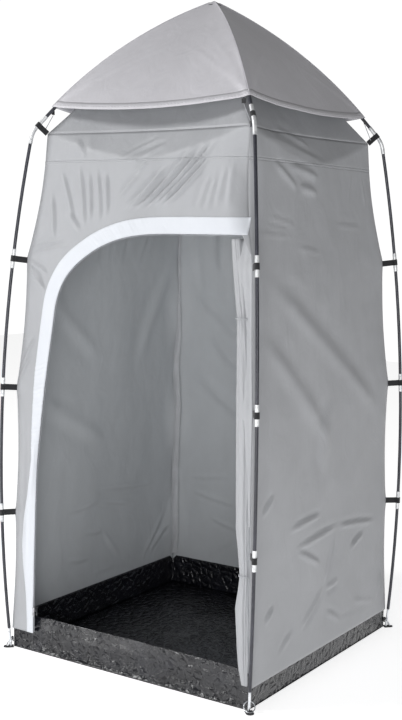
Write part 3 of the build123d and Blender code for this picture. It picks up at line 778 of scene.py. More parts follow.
class CabinFolds:
    """The folds of each side, where its cloth is drawn or was packed."""

    def of(self, side: Side) -> list[Crease]:
        """The folds of one side."""
        makers = {Side.FRONT: self.front, Side.RIGHT: self.right, Side.BACK: self.back, Side.LEFT: self.left}
        return makers[side]()

    @staticmethod
    def front() -> list[Crease]:
        """The front: drawn over the head, nipped in the seam, hanging, and pulled by the straps.

        Returns:
            The folds.
        """
        drawn = [
            ((-0.012, 1.488), (0.215, 1.712)), ((0.028, 1.495), (0.262, 1.722)),
            ((0.058, 1.500), (0.292, 1.724)), ((0.092, 1.505), (0.262, 1.665)),
            ((-0.045, 1.500), (0.100, 1.640)),
        ]
        nipped = [
            ((-0.088, 1.657), (0.052, 1.726)), ((-0.060, 1.655), (0.060, 1.706)),
            ((-0.035, 1.652), (0.045, 1.688)), ((0.000, 1.660), (0.085, 1.710)),
            ((-0.010, 1.615), (0.030, 1.652)), ((-0.075, 1.530), (0.005, 1.617)),
        ]
        hanging = [
            ((-0.282, 1.732), (-0.219, 1.664)), ((-0.252, 1.650), (-0.207, 1.440)),
            ((-0.292, 1.500), (-0.222, 1.430)), ((-0.211, 1.630), (-0.186, 1.460)),
            ((-0.177, 1.640), (-0.146, 1.456)), ((-0.330, 1.640), (-0.250, 1.450)),
            ((-0.140, 1.630), (-0.120, 1.470)), ((-0.360, 1.560), (-0.330, 1.400)),
        ]
        upright = [
            ((0.232, 1.500), (0.266, 1.610)), ((0.296, 1.500), (0.320, 1.630)),
            ((0.338, 1.500), (0.344, 1.640)), ((0.262, 1.490), (0.290, 1.600)),
        ]
        strapped = [
            ((-0.436, 1.352), (-0.249, 1.384)), ((-0.436, 1.366), (-0.280, 1.404)),
            ((-0.439, 1.329), (-0.345, 1.290)), ((-0.434, 1.302), (-0.352, 1.232)),
            ((-0.440, 1.316), (-0.365, 1.262)), ((-0.462, 0.940), (-0.390, 1.080)),
            ((-0.460, 0.915), (-0.405, 1.020)),
        ]
        folds = creases(drawn, 0.0110, 0.0065, -0.008)
        folds += creases(nipped, 0.0062, 0.0055, 0.004)
        folds += creases(hanging, 0.0056, 0.0075, 0.003)
        folds += creases(upright, 0.0040, 0.0090)
        folds += creases(strapped, 0.0065, 0.0065, 0.004)
        folds += comb(((-0.455, 0.88), (-0.445, 0.16)), ((-0.405, 0.84), (-0.410, 0.14)), 4, 0.003, 0.009, 8)
        return folds

    @staticmethod
    def right() -> list[Crease]:
        """The right: packing creases low down, pulls under the yoke and slack cloth between.

        Returns:
            The folds.
        """
        packed = [
            ((-0.249, 0.504), (-0.021, 0.520)), ((-0.211, 0.435), (0.100, 0.457)),
            ((0.075, 0.456), (0.389, 0.415)), ((-0.199, 0.429), (-0.031, 0.350)),
            ((0.070, 0.432), (-0.004, 0.279)), ((-0.010, 0.270), (-0.165, 0.165)),
            ((0.005, 0.182), (0.130, 0.112)), ((0.100, 0.125), (0.302, 0.100)),
            ((0.100, 0.269), (0.005, 0.262)), ((0.441, 0.220), (0.395, 0.115)),
            ((0.400, 0.120), (0.205, 0.168)), ((-0.403, 0.577), (-0.336, 0.636)),
            ((-0.319, 0.105), (-0.210, 0.175)), ((-0.389, 0.241), (-0.331, 0.285)),
            ((0.178, 0.356), (0.296, 0.392)),
        ]
        yoked = [
            ((-0.331, 1.734), (0.100, 1.661)), ((-0.302, 1.746), (-0.057, 1.710)),
            ((-0.194, 1.759), (0.029, 1.711)), ((-0.276, 1.652), (-0.140, 1.571)),
            ((-0.179, 1.643), (0.015, 1.612)), ((-0.129, 1.578), (-0.010, 1.562)),
        ]
        level = [
            ((-0.321, 1.485), (-0.169, 1.458)), ((-0.404, 1.434), (-0.184, 1.424)),
            ((-0.189, 1.394), (-0.003, 1.371)), ((0.079, 1.467), (0.303, 1.456)),
            ((-0.340, 1.455), (-0.200, 1.440)), ((0.248, 1.634), (0.209, 1.546)),
            ((0.322, 1.637), (0.341, 1.528)),
        ]
        slack = [
            ((-0.400, 1.310), (0.400, 0.800)), ((-0.420, 1.130), (0.050, 0.720)),
            ((-0.020, 0.640), (0.020, 0.900)),
        ]
        folds = creases(packed, 0.0068, 0.0080, 0.003)
        folds += creases(yoked, 0.0075, 0.0120, 0.004)
        folds += creases(level, 0.0026, 0.0065)
        folds += creases(slack, 0.0075, 0.0320, 0.01)
        return folds

    @staticmethod
    def back() -> list[Crease]:
        """The back: soft slack folds and packing creases.

        Returns:
            The folds.
        """
        soft = [
            ((0.385, 1.236), (0.080, 0.990)), ((0.300, 1.060), (0.120, 0.880)),
            ((0.360, 0.880), (0.080, 0.690)), ((-0.420, 1.320), (0.050, 1.120)),
            ((-0.400, 0.900), (0.050, 0.620)), ((0.200, 1.540), (0.240, 1.260)),
        ]
        packed = [
            ((0.400, 0.450), (0.180, 0.482)), ((0.390, 0.398), (0.160, 0.360)),
            ((0.320, 0.118), (0.180, 0.232)), ((0.300, 0.300), (0.140, 0.260)),
            ((-0.300, 0.420), (0.020, 0.460)), ((-0.340, 0.240), (-0.080, 0.330)),
        ]
        folds = creases(soft, -0.0090, 0.0260, 0.01)
        folds += creases(packed, -0.0045, 0.0075, 0.003)
        folds += comb(((-0.36, 1.55), (-0.30, 1.1)), ((0.38, 1.55), (0.33, 1.1)), 6, 0.003, 0.018, 14)
        return folds

    @staticmethod
    def left() -> list[Crease]:
        """The left: packing creases, slack folds and a few gathers at the top.

        Returns:
            The folds.
        """
        packed = [
            ((0.222, 0.419), (0.000, 0.430)), ((0.030, 0.431), (-0.203, 0.383)),
            ((0.120, 0.327), (-0.020, 0.310)), ((-0.010, 0.313), (-0.118, 0.190)),
            ((0.050, 0.480), (-0.352, 0.434)), ((0.050, 0.164), (-0.090, 0.157)),
            ((-0.300, 0.150), (-0.441, 0.270)), ((-0.260, 0.140), (-0.420, 0.330)),
            ((0.200, 0.240), (0.060, 0.220)),
        ]
        soft = [
            ((0.420, 1.300), (0.000, 0.960)), ((0.420, 0.900), (-0.050, 0.640)),
            ((-0.420, 1.340), (-0.200, 0.900)),
        ]
        folds = creases(packed, -0.0045, 0.0085, 0.004)
        folds += creases(soft, -0.0060, 0.0300, 0.01)
        folds += comb(((-0.3, 1.62), (-0.2, 1.3)), ((0.3, 1.62), (0.25, 1.3)), 6, 0.0035, 0.014, 6)
        folds += comb(((-0.2, 1.80), (0.24, 1.62)), ((0.05, 1.8), (0.33, 1.64)), 3, 0.005, 0.014, 7)
        return folds


class CabinShape:
    """The outer surface of the cabin's cloth, from the hem to the roof's vent."""

    seam_smoothing = 0.04
    tug = 0.0022
    tug_span = 0.03
    billow = 0.004
    corner_reach = 0.06
    wave_scale, wave_height = 5.0, 0.0050
    dimple_scale, dimple_height = 14.0, 0.0020
    shoulder_bend = 1.4
    rest_sag = {
        "front_left": (0.003, 0.004, 0.005, 0.007),
        "front_right": (0.003, 0.005, 0.006, 0.030),
        "back_left": (0.022, 0.026, 0.024, 0.014),
        "back_right": (0.003, 0.004, 0.005, 0.007),
    }

    def __init__(self) -> None:
        """Reads the section of the cabin from the frame's nodes."""
        wall = self._outer("right_wall")
        roof = self._outer("roof_panel_right")
        self.hem = wall[0][1]
        self.yoke = wall[-1][1]
        self.straps = [z for _, z in wall[1:-1]]
        foot, vent = roof[0], roof[-1]
        chord = np.array(vent) - np.array(foot)
        middle = max(roof[1:-1], key=lambda p: (p[0] - foot[0]) * chord[1] - (p[1] - foot[1]) * chord[0])
        self.shoulder = foot[1]
        self.vent = vent[1]
        line = [*wall, foot, middle, vent]
        self.halves = np.array([half for half, _ in line])
        self.heights = np.array([z for _, z in line])
        self.folds = {side: CabinFolds().of(side) for side in Side}

    @staticmethod
    def _outer(node: str) -> list[tuple[float, float]]:
        """The node's greatest x at each height where it has vertices."""
        found: dict[float, float] = {}
        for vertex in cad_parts[node].data.vertices:
            key = round(vertex.co.z, 4)
            found[key] = max(found.get(key, 0.0), vertex.co.x)
        return [(half, z) for z, half in sorted(found.items())]

    def plain(self, height: np.ndarray) -> np.ndarray:
        """Half the cabin's width with the cloth held out everywhere.

        Args:
            height: heights.

        Returns:
            Half-widths.
        """
        z = np.asarray(height, float)
        middle = np.interp(z, self.heights, self.halves)
        low = np.interp(np.maximum(z - self.seam_smoothing, self.hem), self.heights, self.halves)
        high = np.interp(z + self.seam_smoothing, self.heights, self.halves)
        return np.where(z < self.yoke - self.seam_smoothing, (low + middle + high) / 3.0, middle)

    def half(self, corner: str, height: np.ndarray) -> np.ndarray:
        """Half the cabin's width at a corner, with the seam's sag between its straps.

        Args:
            corner: the corner's name.
            height: heights.

        Returns:
            Half-widths.
        """
        z = np.asarray(height, float)
        stops = [self.hem, *self.straps, self.shoulder]
        sag = np.zeros_like(z)
        for low_stop, high_stop, depth in zip(stops, stops[1:], self.rest_sag[corner]):
            share = np.clip((z - low_stop) / (high_stop - low_stop), 0.0, 1.0)
            sag = sag + depth * np.sin(math.pi * share) ** 1.3
        tug = sum(np.exp(-(((z - strap) / self.tug_span) ** 2)) for strap in self.straps)
        return self.plain(z) - sag + self.tug * tug

    def span(self, side: Side, height: np.ndarray) -> tuple[np.ndarray, np.ndarray]:
        """The side's leftmost and rightmost place at a height."""
        left, right = side.corners
        return -self.half(left, height), self.half(right, height)

    def lift(self, side: Side, across: np.ndarray, height: np.ndarray) -> np.ndarray:
        """How far a side's cloth stands out from the flat.

        Args:
            side: which side.
            across: places to the right of its middle.
            height: heights.

        Returns:
            Distances outwards.
        """
        low, high = self.span(side, height)
        share = (across - low) / (high - low) * 2.0 - 1.0
        belly = 1.0 - share**2
        edge = smooth(0.0, 0.05, 1.0 - np.abs(share))
        raised = sum(fold.lift(across, height) for fold in self.folds[side])
        flat = np.stack([across, height, np.full_like(across, side.value / 90.0)], axis=-1).reshape(-1, 3)
        waves = ripple(flat * (1.0, 0.6, 1.0), self.wave_scale, 3.0).reshape(across.shape) * self.wave_height
        dimples = ripple(flat * (1.0, 0.8, 1.0), self.dimple_scale, 9.0).reshape(across.shape)
        waves = waves + dimples * self.dimple_height
        settled = smooth(self.hem + 0.03, self.hem + 0.13, height)
        rise = np.abs(np.clip(share, -1.0, 1.0)) ** self.shoulder_bend
        fold = self.yoke + (self.shoulder - self.yoke) * rise
        start = np.interp(fold, self.heights, self.halves)
        chord = start + (float(self.halves[-1]) - start) * (height - fold) / (self.vent - fold)
        sunk = np.where(height > fold, self.plain(height) - chord, 0.0) * (1.0 - share**6)
        sway = self.billow * belly * smooth(self.hem, 0.5, height) * (1.0 - smooth(1.3, self.yoke, height))
        return edge * settled * (raised + waves) - sunk + sway

    def at(self, side: Side, across: np.ndarray, height: np.ndarray, out: float = 0.0) -> np.ndarray:
        """Points on a side's cloth.

        Args:
            side: which side.
            across: places to the right of its middle.
            height: heights.
            out: distance outwards from the cloth.

        Returns:
            The points, with one more axis of 3.
        """
        across, height = np.broadcast_arrays(np.asarray(across, float), np.asarray(height, float))
        low, high = self.span(side, height)
        plain = self.plain(height)
        near_left = np.clip(1.0 - (across - low) / self.corner_reach, 0.0, 1.0) ** 2
        near_right = np.clip(1.0 - (high - across) / self.corner_reach, 0.0, 1.0) ** 2
        depth = plain - (plain + low) * near_left - (plain - high) * near_right
        depth = depth + self.lift(side, across, height) + out
        flat = depth[..., None] * side.outward + across[..., None] * side.along
        flat[..., 2] = height
        return flat


class DoorOutline:
    """The free edge of the door opening, from the hem up the jamb and along the head."""

    join = 0.003

    def __init__(self, cabin: CabinShape) -> None:
        """Reads the edge from the front wall's node, and the length along it.

        Args:
            cabin: the cabin that the wall is part of.
        """
        low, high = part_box("door_trim_band")
        found = []
        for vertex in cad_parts["front_wall"].data.vertices:
            x, z = vertex.co.x, vertex.co.z
            if x > low.x + 0.02 and z < high.z - 0.03:
                found.append((x, z))
        found.sort(key=lambda p: p[0] + p[1])
        line = [found[0]]
        for point in found[1:]:
            if math.dist(point, line[-1]) > self.join:
                line.append(point)
        self.line = np.array(line)
        self.head = self.line[-1][1]
        self.right = float(cabin.half("front_right", np.array(self.head)))
        steps = np.hypot(*np.diff(self.line, axis=0).T)
        self.stations = np.concatenate([[0.0], np.cumsum(steps)])
        self.length = float(self.stations[-1])
        band = np.array([(v.co.x, v.co.z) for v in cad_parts["door_trim_band"].data.vertices])
        self.band_right = float(band[:, 0].max())

    def at(self, station: np.ndarray) -> np.ndarray:
        """Points of the edge.

        Args:
            station: lengths along it.

        Returns:
            Their (x, z).
        """
        x = np.interp(station, self.stations, self.line[:, 0])
        z = np.interp(station, self.stations, self.line[:, 1])
        return np.stack([x, z], axis=-1)

    def outward(self, station: np.ndarray) -> np.ndarray:
        """Directions from the opening into the cloth.

        Args:
            station: lengths along the edge.

        Returns:
            Unit vectors (x, z).
        """
        step = 0.02
        ahead = self.at(np.minimum(station + step, self.length)) - self.at(np.maximum(station - step, 0.0))
        ahead = ahead / np.linalg.norm(ahead, axis=-1, keepdims=True)
        return np.stack([-ahead[..., 1], ahead[..., 0]], axis=-1)


# ------------------------------------------------------------------ cloth of the cabin
@dataclass
class CabinCloth:
    """Walls, yokes and inner roof: the cloth that hangs inside the poles."""

    cabin: CabinShape
    door: DoorOutline
    kit: Kit
    thickness: float = 0.0009
    pitch: float = 0.0085
    door_pitch: float = 0.0055
    door_rows: int = 48
    corner_drop: float = 0.065
    corner_station: float = 0.62
    turnings: float = 0.03
    seam_turning: float = 0.01
    wall_share: float = 0.93
    front_share: float = 0.302

    def hand_over(self, shape: Shape, node: str, area: Optional[float] = None) -> None:
        """Args:
            shape: its mesh.
            node: the node that it stands for, which is its name too, with _cloth.
            area: its flat area where the cut isn't a rectangle; not used.
        """
        piece = shape.piece(node + "_cloth", [self.kit.wall, self.kit.lining])
        thicken(piece, self.thickness, lining=True)
        settle(piece, TENT, node)

    def strip(self, side: Side, low: float, high: float) -> np.ndarray:
        """A side's cloth between two heights.

        Args:
            side: which side.
            low: the lower height.
            high: the upper height.

        Returns:
            A grid of points.
        """
        rows = max(int((high - low) / self.pitch), 6)
        z = np.linspace(low, high, rows + 1)[:, None]
        left, right = self.cabin.span(side, z)
        columns = int(2 * float(self.cabin.halves.max()) / self.pitch)
        share = np.linspace(0.0, 1.0, columns + 1)[None, :]
        return self.cabin.at(side, left + (right - left) * share, z)

    def plain_walls(self) -> None:
        """The three walls with no door."""
        cabin = self.cabin
        for side in (Side.RIGHT, Side.BACK, Side.LEFT):
            shape = Shape()
            shape.grid(self.strip(side, cabin.hem, cabin.yoke))
            flat = (2 * float(cabin.halves.max()) + self.turnings, cabin.yoke - cabin.hem + self.turnings)
            self.hand_over(shape, side.word + "_wall", self.wall_share * flat[0] * flat[1])

    def side_share(self, flat: np.ndarray, back: bool = False) -> np.ndarray:
        """Turns (x, z) on the front into (share of the half-width, z).

        Args:
            flat: the places.
            back: whether to turn shares into x instead.

        Returns:
            The places turned.
        """
        left = self.cabin.half("front_left", flat[..., 1])
        right = self.cabin.half("front_right", flat[..., 1])
        half = np.where(flat[..., 0] < 0.0, left, right)
        x = flat[..., 0] * half if back else flat[..., 0] / half
        return np.stack([x, flat[..., 1]], axis=-1)

    def front_wall(self) -> None:
        """The front wall: a strip beside the jamb and a panel over the head, in one cloth."""
        cabin, door = self.cabin, self.door
        bend = door.length * self.corner_station
        low_count = int(bend / self.door_pitch)
        high_count = int((door.length - bend) / self.door_pitch)
        jamb = np.linspace(0, bend, low_count + 1)
        head = np.linspace(bend, door.length, high_count + 1)[1:]
        inner = door.at(np.concatenate([jamb, head]))
        past = np.clip((inner[:, 0] - door.band_right) / (inner[-1, 0] - door.band_right), 0.0, 1.0)
        inner[:, 1] -= self.corner_drop * past
        inner = self.side_share(inner)
        inner[-1, 0] = 1.0
        z = np.linspace(cabin.hem, cabin.yoke, low_count + 1)
        rising = np.stack([np.full_like(z, -1.0), z], axis=-1)
        top = np.linspace(-1.0, 1.0, high_count + 1)[1:]
        level = np.stack([top, np.full_like(top, cabin.yoke)], axis=-1)
        outer = np.concatenate([rising, level])
        share = np.linspace(0.0, 1.0, self.door_rows + 1)[:, None, None]
        flat_points = self.side_share(inner[None] + (outer - inner)[None] * share, back=True)
        shape = Shape()
        shape.grid(cabin.at(Side.FRONT, flat_points[..., 0], flat_points[..., 1]))
        flat = (2 * float(cabin.halves.max()), cabin.yoke - cabin.hem)
        self.hand_over(shape, "front_wall", self.front_share * flat[0] * flat[1])

    def yokes(self) -> None:
        """The four strips over the walls' upper seam."""
        cabin = self.cabin
        for side in Side:
            shape = Shape()
            shape.grid(self.strip(side, cabin.yoke, cabin.shoulder))
            drop = cabin.shoulder - cabin.yoke + self.seam_turning
            self.hand_over(shape, "yoke_" + side.word)

    def roof(self) -> None:
        """The four sloping panels between the shoulder and the vent."""
        cabin = self.cabin
        width = 2 * float(np.interp(cabin.shoulder, cabin.heights, cabin.halves))
        slope = math.hypot(cabin.vent - cabin.shoulder, width / 2 - float(cabin.halves[-1]))
        for side in Side:
            shape = Shape()
            shape.grid(self.strip(side, cabin.shoulder, cabin.vent))
            area = slope * (width / 2 + float(cabin.halves[-1]))
            self.hand_over(shape, "roof_panel_" + side.word, area)

    def vent(self) -> None:
        """The net in the roof's middle, four panels up to the crown patch."""
        low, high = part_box("roof_mesh")
        reach, patch, sag, steps = high.x, 0.021, 0.006, 14
        shape = Shape()
        for side in Side:
            rise = np.linspace(0.0, 1.0, steps + 1)[:, None]
            across = np.linspace(-1.0, 1.0, 2 * steps + 1)[None, :]
            size = reach + (patch - reach) * rise
            depth = size - sag * np.sin(math.pi * rise) * (1.0 - across**2)
            points = depth[..., None] * side.outward + (size * across)[..., None] * side.along
            points[..., 2] = low.z + 0.001 + (high.z - low.z - 0.002) * rise - sag * np.sin(math.pi * rise)
            shape.grid(points)
        piece = thicken(shape.piece("roof_vent_net", [self.kit.net], weld=0.0004), 0.0006)
        settle(piece, TENT, "roof_mesh")

    @staticmethod
    def corner(name: str) -> tuple[np.ndarray, np.ndarray]:
        """The outward diagonal at a corner, and the level direction across it."""
        turn = math.radians(CORNERS[name])
        out = np.array((math.cos(turn), math.sin(turn), 0.0))
        return out, np.array((-out[1], out[0], 0.0))

    def seams(self) -> None:
        """The bound seam allowances that stand inwards in the corners."""
        width, gap, thickness = 0.012, 0.0022, 0.0011
        cabin = self.cabin
        shape = Shape()
        tub_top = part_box("groundsheet_tub")[1].z + 0.006
        for name in ("front_left", "front_right", "back_right"):
            out, across = self.corner(name)
            foot = self.door.head + 0.004 if name == "front_right" else tub_top
            z = np.arange(foot, cabin.yoke, 0.008)
            reach = cabin.half(name, z) * math.sqrt(2.0) - gap
            sway = 0.0035 * np.sin(z * 21.0) + 0.002 * np.sin(z * 57.0 + 1.0)
            rows = []
            for share in (0.0, 0.4, 0.8, 1.0):
                point = (reach - width * share)[:, None] * out + (sway * share)[:, None] * across
                point[:, 2] = z
                rows.append(point)
            shape.grid(np.array(rows).transpose(1, 0, 2))
        piece = thicken(shape.piece("corner_seam_tape", [self.kit.binding]), thickness)
        settle(piece, TENT, "corner_seam_bindings")
        self.pleat(tub_top)

    def pleat(self, low: float) -> None:
        """The slack that hangs as a soft flat pleat down the back left corner.

        Args:
            low: height of its lower end.
        """
        narrow, wide, gap, roll = 0.0045, 0.0125, 0.002, 0.0045
        out, across = self.corner("back_left")
        z = np.arange(low, self.cabin.yoke - 0.02, 0.006)[:, None]
        place = np.linspace(-1.0, 1.0, 13)[None, :]
        width = narrow + (wide - narrow) * (1.0 - smooth(0.85, 1.30, z))
        inward = gap + width + roll * np.abs(place) ** 2.5 + 0.0015 * np.sin(z * 31.0 + place * 2.0)
        reach = self.cabin.half("back_left", z) * math.sqrt(2.0) - inward
        aside = place * width + 0.0016 * np.sin(z * 23.0)
        points = reach[..., None] * out + aside[..., None] * across
        points[..., 2] = z
        shape = Shape()
        shape.grid(points, flip=True)
        piece = thicken(shape.piece("back_left_pleat", [self.kit.binding]), 0.0011)
        settle(piece, TENT)

    def yoke_seams(self) -> None:
        """The folded seam between walls and yokes, with a row of stitches on each side."""
        fold, proud, stitch, pitch = 0.007, 0.0007, 0.0022, 0.0048
        cabin = self.cabin
        seam, thread = Shape(), Shape()
        for side in Side:
            low, high = cabin.span(side, np.array(cabin.yoke))
            across = np.linspace(float(low), float(high), 150)
            rows = [
                cabin.at(side, across, np.full_like(across, cabin.yoke + fold * (share - 0.5)), proud * lift)
                for share, lift in ((0.0, 0.2), (0.15, 1.0), (0.85, 1.0), (1.0, 0.2))
            ]
            seam.grid(np.array(rows))
            for offset in (-0.3, 0.3):
                places = np.arange(float(low) + 0.006, float(high) - 0.006, pitch)
                middle = cabin.at(side, places, np.full_like(places, cabin.yoke + fold * offset), proud * 1.2)
                for point in middle:
                    thread.block(point, (side.along, UP, side.outward), (stitch / 2, *THREAD_HALVES))
        settle(thicken(seam.piece("yoke_seam_fold", [self.kit.wall]), 0.0006), TENT)
        settle(thread.piece("yoke_seam_stitches", [self.kit.elastic]), TENT)

    def build(self) -> None:
        """Makes every cloth of the cabin."""
        self.plain_walls()
        self.front_wall()
        self.yokes()
        self.roof()
        self.vent()
        self.seams()
        self.yoke_seams()


# ------------------------------------------------------------------ the door's edge
@dataclass
class DoorEdge:
    """The wide white band round the opening, and the zip behind it."""

    cabin: CabinShape
    door: DoorOutline
    kit: Kit
    pitch: float = 0.0045
    columns: int = 14
    proud: float = 0.0013
    twist_height: float = 0.63
    twist_span: float = 0.12
    heights: tuple[float, ...] = (0.07, 0.20, 0.33, 0.42, 0.54, 0.63, 0.72, 0.82, 0.94, 1.10)
    widths: tuple[float, ...] = (0.026, 0.034, 0.050, 0.050, 0.040, 0.025, 0.033, 0.042, 0.050, 0.053)
    mean_width: float = 0.046

    @staticmethod
    def axes(away: np.ndarray) -> tuple[np.ndarray, np.ndarray]:
        """The directions along the edge and across it, from the (x, z) that points across it."""
        return np.array((away[1], 0.0, -away[0])), np.array((away[0], 0.0, away[1]))

    def width(self, height: np.ndarray) -> np.ndarray:
        """The band's width: full round the bend, narrow where it twists and at its foot.

        Args:
            height: heights of its inner edge.

        Returns:
            Widths.
        """
        spread = 0.03
        lower = np.interp(height - spread, self.heights, self.widths)
        upper = np.interp(height + spread, self.heights, self.widths)
        return (lower + upper) / 2.0

    def puckers(self, station: np.ndarray, across: np.ndarray) -> np.ndarray:
        """Small oblique wrinkles of the band.

        Args:
            station: lengths along the edge.
            across: distances from the edge.

        Returns:
            Their heights, in metres.
        """
        slant = station + 0.5 * across
        strong = smooth(0.25, 0.45, station) * (1.0 - smooth(1.5, 2.0, station)) * 0.7 + 0.3
        waves = np.sin(slant * 251.0 + 2.0 * np.sin(station * 17.0)) + 0.6 * np.sin(slant * 141.0 + 1.3)
        gate = smooth(-0.1, 0.8, np.sin(station * 9.0 + 0.7) + 0.4 * np.sin(station * 23.0))
        return 0.0013 * strong * gate * waves

    def band(self) -> None:
        """The band itself, one long strip."""
        door, cabin = self.door, self.cabin
        reach = door.stations[-1] - (door.right - door.band_right)
        station = np.linspace(0.0, reach, int(reach / self.pitch))[:, None]
        share = np.linspace(0.0, 1.0, self.columns + 1)[None, :]
        edge = door.at(station[:, 0])[:, None, :]
        out = door.outward(station[:, 0])[:, None, :]
        width = self.width(edge[..., 1])
        flat = edge + out * (width * share)[..., None]
        flat[..., 1] = np.maximum(flat[..., 1], cabin.hem)
        roll = 0.0008 * (1.0 - smooth(0.0, 0.12, share)) * -1.0
        twist = np.exp(-(((edge[..., 1] - self.twist_height) / self.twist_span) ** 2))
        ridge = 0.008 * twist * np.sin(math.pi * share) ** 1.5
        out_by = self.proud + np.abs(self.puckers(station, width * share)) + roll + ridge
        points = cabin.at(Side.FRONT, flat[..., 0], flat[..., 1], out_by)
        shape = Shape()
        shape.grid(points, flip=True)
        piece = thicken(shape.piece("door_band", [self.kit.band]), 0.0006)
        settle(piece, TENT, "door_trim_band")
        self.stitches(reach)

    def stitches(self, reach: float) -> None:
        """Two rows of stitches that hold the band, just inside its edges.

        Args:
            reach: the band's length.
        """
        length, pitch, margin = 0.0026, 0.0056, 0.003
        door, cabin = self.door, self.cabin
        shape = Shape()
        station = np.arange(0.02, reach - 0.01, pitch)
        edge = door.at(station)
        out = door.outward(station)
        width = self.width(edge[:, 1])
        for inset in (np.full_like(width, margin), width - margin):
            flat = edge + out * inset[:, None]
            lift = np.abs(self.puckers(station, inset)) + self.proud + 0.0003
            middle = cabin.at(Side.FRONT, flat[:, 0], flat[:, 1], lift)
            for point, away in zip(middle, out):
                along, across = self.axes(away)
                shape.block(point, (along, across, Side.FRONT.outward), (length / 2, *THREAD_HALVES))
        settle(shape.piece("door_band_stitches", [self.kit.thread]), TENT)

    def zip(self) -> None:
        """The zip: a tape behind the cloth and a row of nylon teeth past its edge."""
        tape, tooth, pitch, behind = 0.013, 0.0042, 0.0031, 0.0022
        door, cabin = self.door, self.cabin
        reach = door.length - (door.right - door.band_right)
        shape, teeth = Shape(), Shape()
        station = np.linspace(0.004, reach, 260)
        edge, out = door.at(station), door.outward(station)
        rows = []
        for share in (0.0, 0.35, 0.7, 1.0):
            flat = edge + out * (tape * share)
            rows.append(cabin.at(Side.FRONT, flat[:, 0], flat[:, 1], -behind))
        shape.grid(np.array(rows).transpose(1, 0, 2), flip=True)
        station = np.arange(0.006, reach, pitch)
        edge, out = door.at(station), door.outward(station)
        middle = cabin.at(Side.FRONT, *(edge - out * (tooth / 2)).T, -behind)
        for point, away in zip(middle, out):
            along, across = self.axes(away)
            teeth.block(point, (across, along, Side.FRONT.outward), (tooth / 2, pitch * 0.32, 0.0008))
        piece = thicken(shape.piece("door_zip_tape", [self.kit.zip_tape]), 0.0006)
        settle(piece, TENT, "door_zip")
        settle(teeth.piece("door_zip_teeth", [self.kit.coil]), TENT)

    def build(self) -> None:
        """Makes the band and the zip."""
        self.band()
        self.zip()


